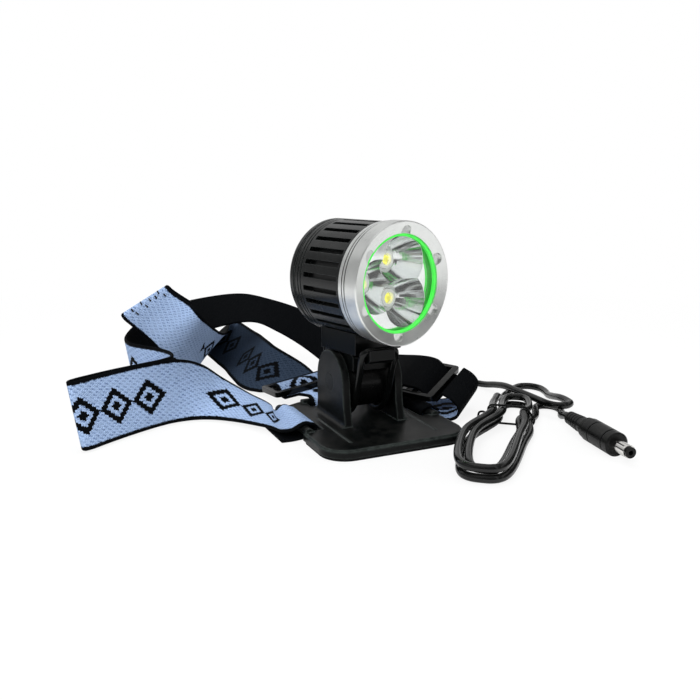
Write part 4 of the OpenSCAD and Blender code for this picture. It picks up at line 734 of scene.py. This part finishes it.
def moulded(name, colour, roughness, fineness, height, specular, edge_wear_and_highlight=0.4, wear_and_highlight_colour=(0.05, 0.052, 0.055),
            uneven=0.06, dusty=0.02, edge=0.0004, matt_past=None):
    """Moulded plastic: colour times shade, paler along edges for wear and as a painted highlight, dust in the
    roughness, grain in the bump. Where matt_past is given, the faces further than that from x = 0, in metres,
    are a little more matt."""
    material, tree, shader = finish_of(name, Specular_IOR_Level=specular)
    at = place(tree)
    g = use(tree, grain, Place=at, Fineness=fineness, Uneven=uneven)
    e = use(tree, edges, Place=at, Width=edge)
    d = use(tree, dust, Place=at, Amount=dusty)
    worn_and_highlit_colour = blend_colours(tree, e["Mask"] * edge_wear_and_highlight, scaled(tree, colour, g["Shade"]), wear_and_highlight_colour)
    rough = (g["Shade"] - 1) * 0.5 + roughness + d["Mask"] * 0.3 + g["Spots"] * 0.06
    if matt_past: rough = rough + apart(tree, at)[0].abs().over(matt_past) * 0.12
    feed(tree, shader, Base_Color=blend_colours(tree, d["Mask"], worn_and_highlit_colour, dust_colour),
         Roughness=rough.clamped(), Normal=bump(tree, g["Height"], height, 1.0, e["Normal"]))
    return material

def dress(material, *names):
    """The material goes into the slots of these nodes or pieces."""
    for name in names:
        piece = nodes[name] if isinstance(name, str) else name
        if not len(piece.data.materials): piece.data.materials.append(material)
        for k in range(len(piece.data.materials)): piece.data.materials[k] = material

# %% [markdown]
# ## Black plastics and rubbers
# The plate and the foot are matt with a visible grain, the housing is smoother, and the sliders and the bar
# shine a little. The pale edges on the plate and on the housing's fins are partly wear and partly a painted
# highlight. Rubber is darker still, with a soft sheen. Each row gives the colour, the roughness, the grain's
# fineness and height, and how much the surface mirrors head on.

# %% Black parts
# the plate's edges are wide and pale: wear and a painted highlight
plate_black = moulded("plate black", (0.0012, 0.0016, 0.0016), 0.33, 1900.0, 0.00004, 0.15,
                      edge_wear_and_highlight=0.8, wear_and_highlight_colour=(0.045, 0.055, 0.052), edge=0.0012)
bar_black = moulded("bar black", (0.002, 0.0022, 0.0022), 0.26, 1900.0, 0.00002, 0.16, matt_past=0.0125)
foot_black = moulded("foot black", (0.001, 0.0014, 0.0014), 0.3, 2200.0, 0.00003, 0.14, edge=0.0006)
shell_black = moulded("shell black", (0.0025, 0.003, 0.003), 0.24, 3000.0, 0.000006, 0.35,
                      edge_wear_and_highlight=0.5, wear_and_highlight_colour=(0.08, 0.09, 0.088), edge=0.0003)
gloss_black = moulded("gloss black", (0.0012, 0.0015, 0.0015), 0.14, 3000.0, 0.000004, 0.25)
soft_black = moulded("soft black", (0.002, 0.0022, 0.0022), 0.34, 1500.0, 0.00002, 0.2, edge_wear_and_highlight=0.2)
foam_black = moulded("foam black", (0.006, 0.006, 0.0065), 0.85, 900.0, 0.0002, 0.1, edge_wear_and_highlight=0.2, uneven=0.2)
lead_black = moulded("lead black", (0.0015, 0.0018, 0.0018), 0.17, 700.0, 0.00001, 0.4,
                     edge_wear_and_highlight=0.1, wear_and_highlight_colour=(0.01, 0.01, 0.01))
dress(plate_black, "base_plate")
dress(foot_black, "saddle_foot", "mount_block")
dress(shell_black, "housing", "rear_cap")
dress(bar_black, "cradle_bar")
dress(gloss_black, "right_slider", "rear_slider", "switch_body", rubber_loop)
dress(soft_black, "saddle_lining", "rear_seal", "bezel_seal", "switch_button", "cable_gland",
      "plug_relief", "plug_body", "plug_tip", wire_tie)
dress(foam_black, pad)
dress(lead_black, main_cable, lamp_cable)
print("black finishes:", [m.name for m in bpy.data.materials if m.name.endswith("black")])

# %% [markdown]
# ## The knitted elastic
# Jacquard elastic is knitted from two yarns. Wherever the dark yarn comes to the front it leaves the light
# side and shows there as a small dark block, and the same block is light on the back. So one pattern, drawn
# in cells the size of a stitch, serves both sides with its colours swapped.

# %% Knit and motif groups
stitch = 0.085  # cm
motif_rows, motif_repeat, motif_shown, motif_middle = 20.0, 80.0, 59.5, 17
outer_from, outer_to, core_to = 6.5, 9.5, 2.6

def cells(i):
    """The row along the strap, and the place across it in stitches: every other row is moved by a half."""
    u = i["Along"] / stitch
    return u, u.floor(), i["Across"] / stitch + u.floor().mod(2.0) * 0.5

def knit_inside(t, i):
    """Height = ribs along the strap times small humps across each stitch; Tick = every third stitch, in
    slanting lines, where the other yarn shows between two loops; Yarn = a slight change of shade by cell."""
    u, row, v = cells(i)
    column = v.floor()
    ribs, humps = ((x.part() - 0.5).abs() * 2 for x in (v, u))
    dome = (1 - ribs * ribs) * (1 - humps * humps * 0.8)
    chance = add(t, "ShaderNodeTexWhiteNoise", {"Vector": pair(t, row, column)}, noise_dimensions="2D")
    chance = out(t, chance, "Value")
    tick = (row + column * 2).mod(3.0).under(0.5) * (chance * 0.8 + 0.2) * ribs.under(0.7)
    return {"Height": dome, "Tick": tick, "Yarn": chance * 0.12 + 0.94}
knit = group("knit", {"Along": 0.0, "Across": 0.0}, ("Height", "Tick", "Yarn"), knit_inside)

def motif_inside(t, i):
    """Three bold stepped diamonds and a gap, over and over. Whole stitches from the middle of a diamond
    along, plus those from the middle of the strap across, give its distance, and two bands of it are set."""
    _, row, v = cells(i)
    away = (row.mod(motif_rows) - (motif_rows - 1) / 2).abs() + (v.floor() - motif_middle).abs()
    outer = away.over(outer_from - 0.25) * away.under(outer_to + 0.25)
    return {"Mask": (outer + away.under(core_to)).least(1.0) * row.mod(motif_repeat).under(motif_shown)}
motif = group("stepped motif", {"Along": 0.0, "Across": 0.0}, ("Mask",), motif_inside)

# %% Webbing material
light_yarn, tick_yarn, dark_yarn = (0.31, 0.42, 0.63), (0.1, 0.155, 0.29), (0.0016, 0.002, 0.0026)
# the face yarns darkened, as painted shade, for a stretch of strap that lies in shadow
shaded_yarn, shaded_tick = (0.011, 0.019, 0.033), (0.004, 0.008, 0.016)
half_band, selvedge = 1.5, 1.4  # cm, as in the straps' UV

def webbing(name, shift, first, back_from, back_to, shaded_at):
    """Face and back are told apart by V. The face is light yarn with darker ticks and the dark motif. The
    back is dark, and shows the motif light only between back_from and back_to. The selvedge is dark, with a
    ragged edge. The motif is moved by shift and starts at first, and the face is painted darker round
    shaded_at, as painted shade. All of these are distances along the strap in centimetres."""
    material, tree, shader = finish_of(name, Specular_IOR_Level=0.06)
    along, v, _ = apart(tree, place(tree, "UV"))
    back = v.over(back_v - 0.5)
    across = v - back * back_v
    k = use(tree, knit, Along=along, Across=across)
    m = use(tree, motif, Along=along + shift, Across=across)["Mask"]
    ragged = (along / stitch).part() * 0.05 + noise(tree, pair(tree, along, v), 7.0, 1.0) * 0.1
    border = ((across - half_band).abs() + ragged).over(selvedge)
    shown = m * (1 - back) * along.over(first) + m * back * along.over(back_from) * along.under(back_to)
    is_dark = (shown - back).abs().most(border)
    # painted shade: the face darkens round shaded_at
    painted_shade = range_of(tree, (along - shaded_at).abs(), 4.9, 7.6, 0.96, 0.0)
    face = blend_colours(tree, painted_shade, blend_colours(tree, k["Tick"], light_yarn, tick_yarn),
                         blend_colours(tree, k["Tick"], shaded_yarn, shaded_tick))
    cloud = range_of(tree, noise(tree, place(tree), 45.0, 3.0), 0.3, 0.7, 0.94, 1.05)
    # the knit's height darkens the hollows between loops: painted shade
    shade = cloud * k["Yarn"] * (k["Height"] * 0.2 + 0.86)
    fuzz = noise(tree, place(tree), 5200.0, 2.0, 0.7)
    feed(tree, shader, Base_Color=scaled(tree, blend_colours(tree, is_dark, face, dark_yarn), shade),
         Roughness=fuzz * 0.2 + 0.72, Normal=bump(tree, k["Height"] + fuzz * 0.35 - is_dark * 0.25, 0.00018))
    return material

dress(webbing("head band knit", -3.4, 0.0, 43.0, 45.2, 90.0), head_web)
dress(webbing("overhead knit", -4.6, 7.6, 60.0, 61.0, 19.0), crown_web)

def speckled(name, noise_at, low, high, roughness, height, **sockets):
    """One noise, given by its scale, detail and roughness, drives colour, roughness and bump. Where an
    emission strength is given, the colour is also given off as painted glow."""
    material, tree, shader = finish_of(name, **sockets)
    speck = noise(tree, place(tree), *noise_at)
    colour = blend_colours(tree, speck, low, high)
    if "Emission_Strength" in sockets: feed(tree, shader, Emission_Color=colour)
    least, most = roughness
    feed(tree, shader, Base_Color=colour, Roughness=speck * (most - least) + least,
         Normal=bump(tree, speck, height))
    return material

dress(speckled("black thread", (4200.0, 2.0, 0.7), (0.004, 0.004, 0.005), (0.03, 0.03, 0.033), (0.5, 0.8),
               0.0001, Specular_IOR_Level=0.2), sewing)
print("webbing and thread done")

# %% [markdown]
# ## Turned metal, chrome and glass
# The bezel was turned on a lathe and then satin-blasted, so it carries very fine rings about its own axis.
# The group works out the distance from that axis, which leans with the lamp's swivel.

# %% Turned group
lamp_axis_z = 0.0691

def turned_inside(t, i):
    """Place about the lamp's axis: the sideways part is the dot product with the level direction across the
    lamp, the upward part is z less the axis height, and the radius is the root of their squares."""
    x = dot(t, i["Place"], (math.cos(yaw), math.sin(yaw), 0))
    forward = dot(t, i["Place"], (math.sin(yaw), -math.cos(yaw), 0))
    z = apart(t, i["Place"])[2] - lamp_axis_z
    radius = (x * x + z * z).math("SQRT")
    lathe = noise(t, pair(t, radius, forward), i["Fineness"], 2.0, 0.6)
    return {"Lathe": lathe, "Radius": radius, "Forward": forward}
turned = group("turned about the lamp", {"Place": origin, "Fineness": 5000.0},
               ("Lathe", "Radius", "Forward"), turned_inside)

crease_r, crease_shade = 0.024, 0.75

def metal(name, colour, roughness, fineness, lathe, streak, blast=0.0, edge_wear_and_highlight=0.3, creases=(), bare=1.0):
    """Bare metal: roughness varies with the lathe's rings, the bump adds them and a fine blasted grain. The
    creases are painted darker as painted shade, each given by where it starts and ends along the lamp's axis,
    in metres."""
    material, tree, shader = finish_of(name, Metallic=bare)
    at = place(tree)
    t = use(tree, turned, Place=at, Fineness=fineness)
    e = use(tree, edges, Place=at, Width=0.0003)
    grit = noise(tree, at, 3500.0, 2.0, 0.7)
    smear = noise(tree, at, 120.0, 4.0, 0.6)
    # edges paler towards near white, for wear and as a painted highlight
    bright = blend_colours(tree, e["Mask"] * edge_wear_and_highlight, colour, (0.95, 0.95, 0.95))
    shade = range_of(tree, smear, 0.3, 0.7, 0.93, 1.03)
    # painted shade darkens the turned grooves
    for low, high in creases:
        inside = t["Forward"].over(low) * t["Forward"].under(high) * t["Radius"].over(crease_r)
        shade = shade * (1 - inside * crease_shade)
    rough = t["Lathe"] * streak + range_of(tree, smear, 0.35, 0.65, -0.02, 0.05) + (roughness - streak / 2)
    feed(tree, shader, Base_Color=scaled(tree, bright, shade), Roughness=rough.clamped(),
         Normal=bump(tree, t["Lathe"] + grit * blast, lathe, 1.0, e["Normal"]))
    return material

# %% Metals
satin = metal("satin silver", (0.74, 0.755, 0.74), 0.3, 5200.0, 0.00002, 0.12, 0.5,
    creases=((0.0197, 0.0206), (0.0217, 0.0226)), bare=0.9)
chrome = metal("chrome bowl", (0.78, 0.81, 0.8), 0.07, 900.0, 0.0, 0.03, 0.0)
screw_steel = metal("screw steel", (0.55, 0.55, 0.56), 0.3, 3000.0, 0.00001, 0.15, 0.3)
nickel = metal("nickel", (0.78, 0.77, 0.75), 0.16, 3000.0, 0.000006, 0.08, 0.1)
dress(satin, "bezel")
dress(chrome, "reflector")
dress(screw_steel, "swivel_washer", "swivel_screw", "block_screws")
dress(nickel, "plug_barrel")

# %% [markdown]
# The green ring is dyed clear plastic that glows at its edges. It sits in front of the lens and the chrome
# bowls throw it back in bright patches. Its emission, in its own colour, is partly that glow and partly
# painted light that stands in for those patches and lifts the ring where it lies in shade.

# %% Green ring, lens and emitters
green, tree, shader = finish_of("green partly painted glow", Specular_IOR_Level=0.5, Emission_Strength=0.5)
at = place(tree)
cloud = noise(tree, at, 260.0, 3.0)
tone = blend_colours(tree, cloud, (0.03, 0.55, 0.04), (0.07, 0.72, 0.08))
feed(tree, shader, Base_Color=tone, Emission_Color=tone, Roughness=cloud * 0.15 + 0.22,
     Normal=bump(tree, noise(tree, at, 1800.0), 0.00002))
dress(green, "green_ring")

glass, tree, shader = finish_of("clear lens", Transmission_Weight=1.0, IOR=1.46, Base_Color=(1, 1, 1, 1))
at = place(tree)
smear = noise(tree, at, 90.0, 4.0, 0.6)
feed(tree, shader, Roughness=range_of(tree, smear, 0.45, 0.75, 0.0, 0.05),
     Normal=bump(tree, smear, 0.00002))
dress(glass, "lens")

# the white rings get a little emission of their own colour: painted glow that brightens them in the dim bowls
white_ring, tree, shader = finish_of("white resin painted glow", Specular_IOR_Level=0.4, Emission_Strength=0.3)
at = place(tree)
g = use(tree, grain, Place=at, Fineness=2400.0, Uneven=0.05)
resin = scaled(tree, (0.9, 0.92, 0.89), g["Shade"])
feed(tree, shader, Base_Color=resin, Emission_Color=resin, Roughness=g["Spots"] * 0.1 + 0.4,
     Normal=bump(tree, g["Height"], 0.00001))
dress(white_ring, "centring_rings")

# the emitters get a little emission of their own colour: painted glow that brightens them in the dim bowls
dress(speckled("emitter", (2600.0, 3.0, 0.5), (0.8, 0.74, 0.03), (0.92, 0.9, 0.14), (0.35, 0.55), 0.00003,
               Specular_IOR_Level=0.5, Coat_Weight=0.6, Emission_Strength=0.6), "emitters")

def board(name, colour, copper):
    """A circuit board: solder mask with faint tracks under it, where slow noise is close to a half."""
    material, tree, shader = finish_of(name, Specular_IOR_Level=0.5, Coat_Weight=0.4, Coat_Roughness=0.2)
    at = place(tree)
    track = ((noise(tree, at, 420.0, 0.0) - 0.5).abs()).under(0.03)
    weave = noise(tree, at, 2800.0, 1.0)
    feed(tree, shader, Base_Color=blend_colours(tree, track * 0.6, colour, copper),
         Roughness=weave * 0.2 + 0.3, Normal=bump(tree, track + weave * 0.1, 0.00003))
    return material
dress(board("white board", (0.7, 0.7, 0.68), (0.6, 0.6, 0.56)), "led_board")
dress(board("green board", (0.02, 0.16, 0.06), (0.1, 0.32, 0.12)), "driver_board")
dress(moulded("spacer white", (0.7, 0.7, 0.68), 0.5, 2400.0, 0.00002, 0.4, edge_wear_and_highlight=0.1, wear_and_highlight_colour=(0.8, 0.8, 0.8),
              uneven=0.05, dusty=0.1), "board_spacer")
print("materials:", len(bpy.data.materials))

# %% [markdown]
# ## Floor, background and light
# The floor and the background are white for the camera. Light on the object comes from three soft area
# lamps and an even sky, at a level where a colour renders about as it is written. Only mirrored rays see a
# room: bright panels overhead, behind and at the left, and narrow strips between them, on a dark ground.

# %% Floor
s = 3.0
floor = surface("floor", np.array([[-s, -s, 0], [s, -s, 0], [s, s, 0], [-s, s, 0]]), [[0, 1, 2, 3]])
paper, tree, shader = finish_of("pale paper", Base_Color=(0.7, 0.7, 0.7, 1), Roughness=0.9,
                                Specular_IOR_Level=0.1)
glow = add(tree, "ShaderNodeEmission", {"Color": (1.0, 1.0, 1.0, 1.0), "Strength": 1.0})
seen = out(tree, add(tree, "ShaderNodeLightPath"), "Is Camera Ray")
x, y, _ = apart(tree, place(tree))
far = range_of(tree, (x * x + y * y).math("SQRT"), 0.2, 0.5, 0.86, 1.0)
mixed = add(tree, "ShaderNodeMixShader", {0: seen * far, 1: out(tree, shader), 2: out(tree, glow)})
tree.links.new(mixed.outputs[0], tree.nodes["Material Output"].inputs["Surface"])
dress(paper, floor)
print("floor", 2 * s, "m square")

# %% World
world = bpy.data.worlds.new("studio")
bpy.context.scene.world = world
world.use_nodes = True
tree = world.node_tree
path = add(tree, "ShaderNodeLightPath")
x, y, z = apart(tree, place(tree, "Generated"))
panel = lambda value, low, high: range_of(tree, value, low, high, 0.0, 1.0)
strip = lambda value, middle, half: 1 - panel((value - middle).abs(), half * 0.7, half)
panels = panel(z, 0.74, 0.96) * 0.85 + panel(y, 0.5, 0.95) * 0.75 + panel(x * -1, 0.7, 0.95) * 0.4
strips = strip(x, 0.3, 0.09) * y.under(0.0) * 0.8 + strip(x, 0.72, 0.06) * 0.5 + strip(z, 0.55, 0.08) * 0.5
room = (panels + strips + 0.03).least(0.92)
seen = out(tree, path, "Is Camera Ray")
mirrored = (out(tree, path, "Is Glossy Ray") + out(tree, path, "Is Transmission Ray")).least(1.0)
sky = 0.55
level = seen + (1 - seen) * (mirrored * room + (1 - mirrored) * sky)
fill(tree, tree.nodes["Background"].inputs["Strength"], level)
fill(tree, tree.nodes["Background"].inputs["Color"], (1, 1, 1, 1))
print("sky at", sky, "and the room at most 0.92")

# %% Lamps
def soft_lamp(name, at, aim, size, power):
    """A square area lamp at a place, turned to face a point."""
    light = bpy.data.objects.new(name, bpy.data.lights.new(name, "AREA"))
    bpy.context.collection.objects.link(light)
    light.data.size, light.data.energy = size, power
    light.visible_glossy = light.visible_transmission = False
    light.location = at
    light.rotation_euler = (Vector(aim) - Vector(at)).to_track_quat("-Z", "Y").to_euler()
lamp_aim = (0, 0.02, 0.03)
for name, at, size, power in (("key", (-0.5, -0.35, 0.6), 0.5, 6.0), ("fill", (0.6, -0.5, 0.35), 0.6, 2.6),
                              ("top", (0.1, 0.35, 0.8), 0.6, 4.5)):
    soft_lamp(name, at, lamp_aim, size, power)
scene = bpy.context.scene
scene.view_settings.view_transform = "Standard"
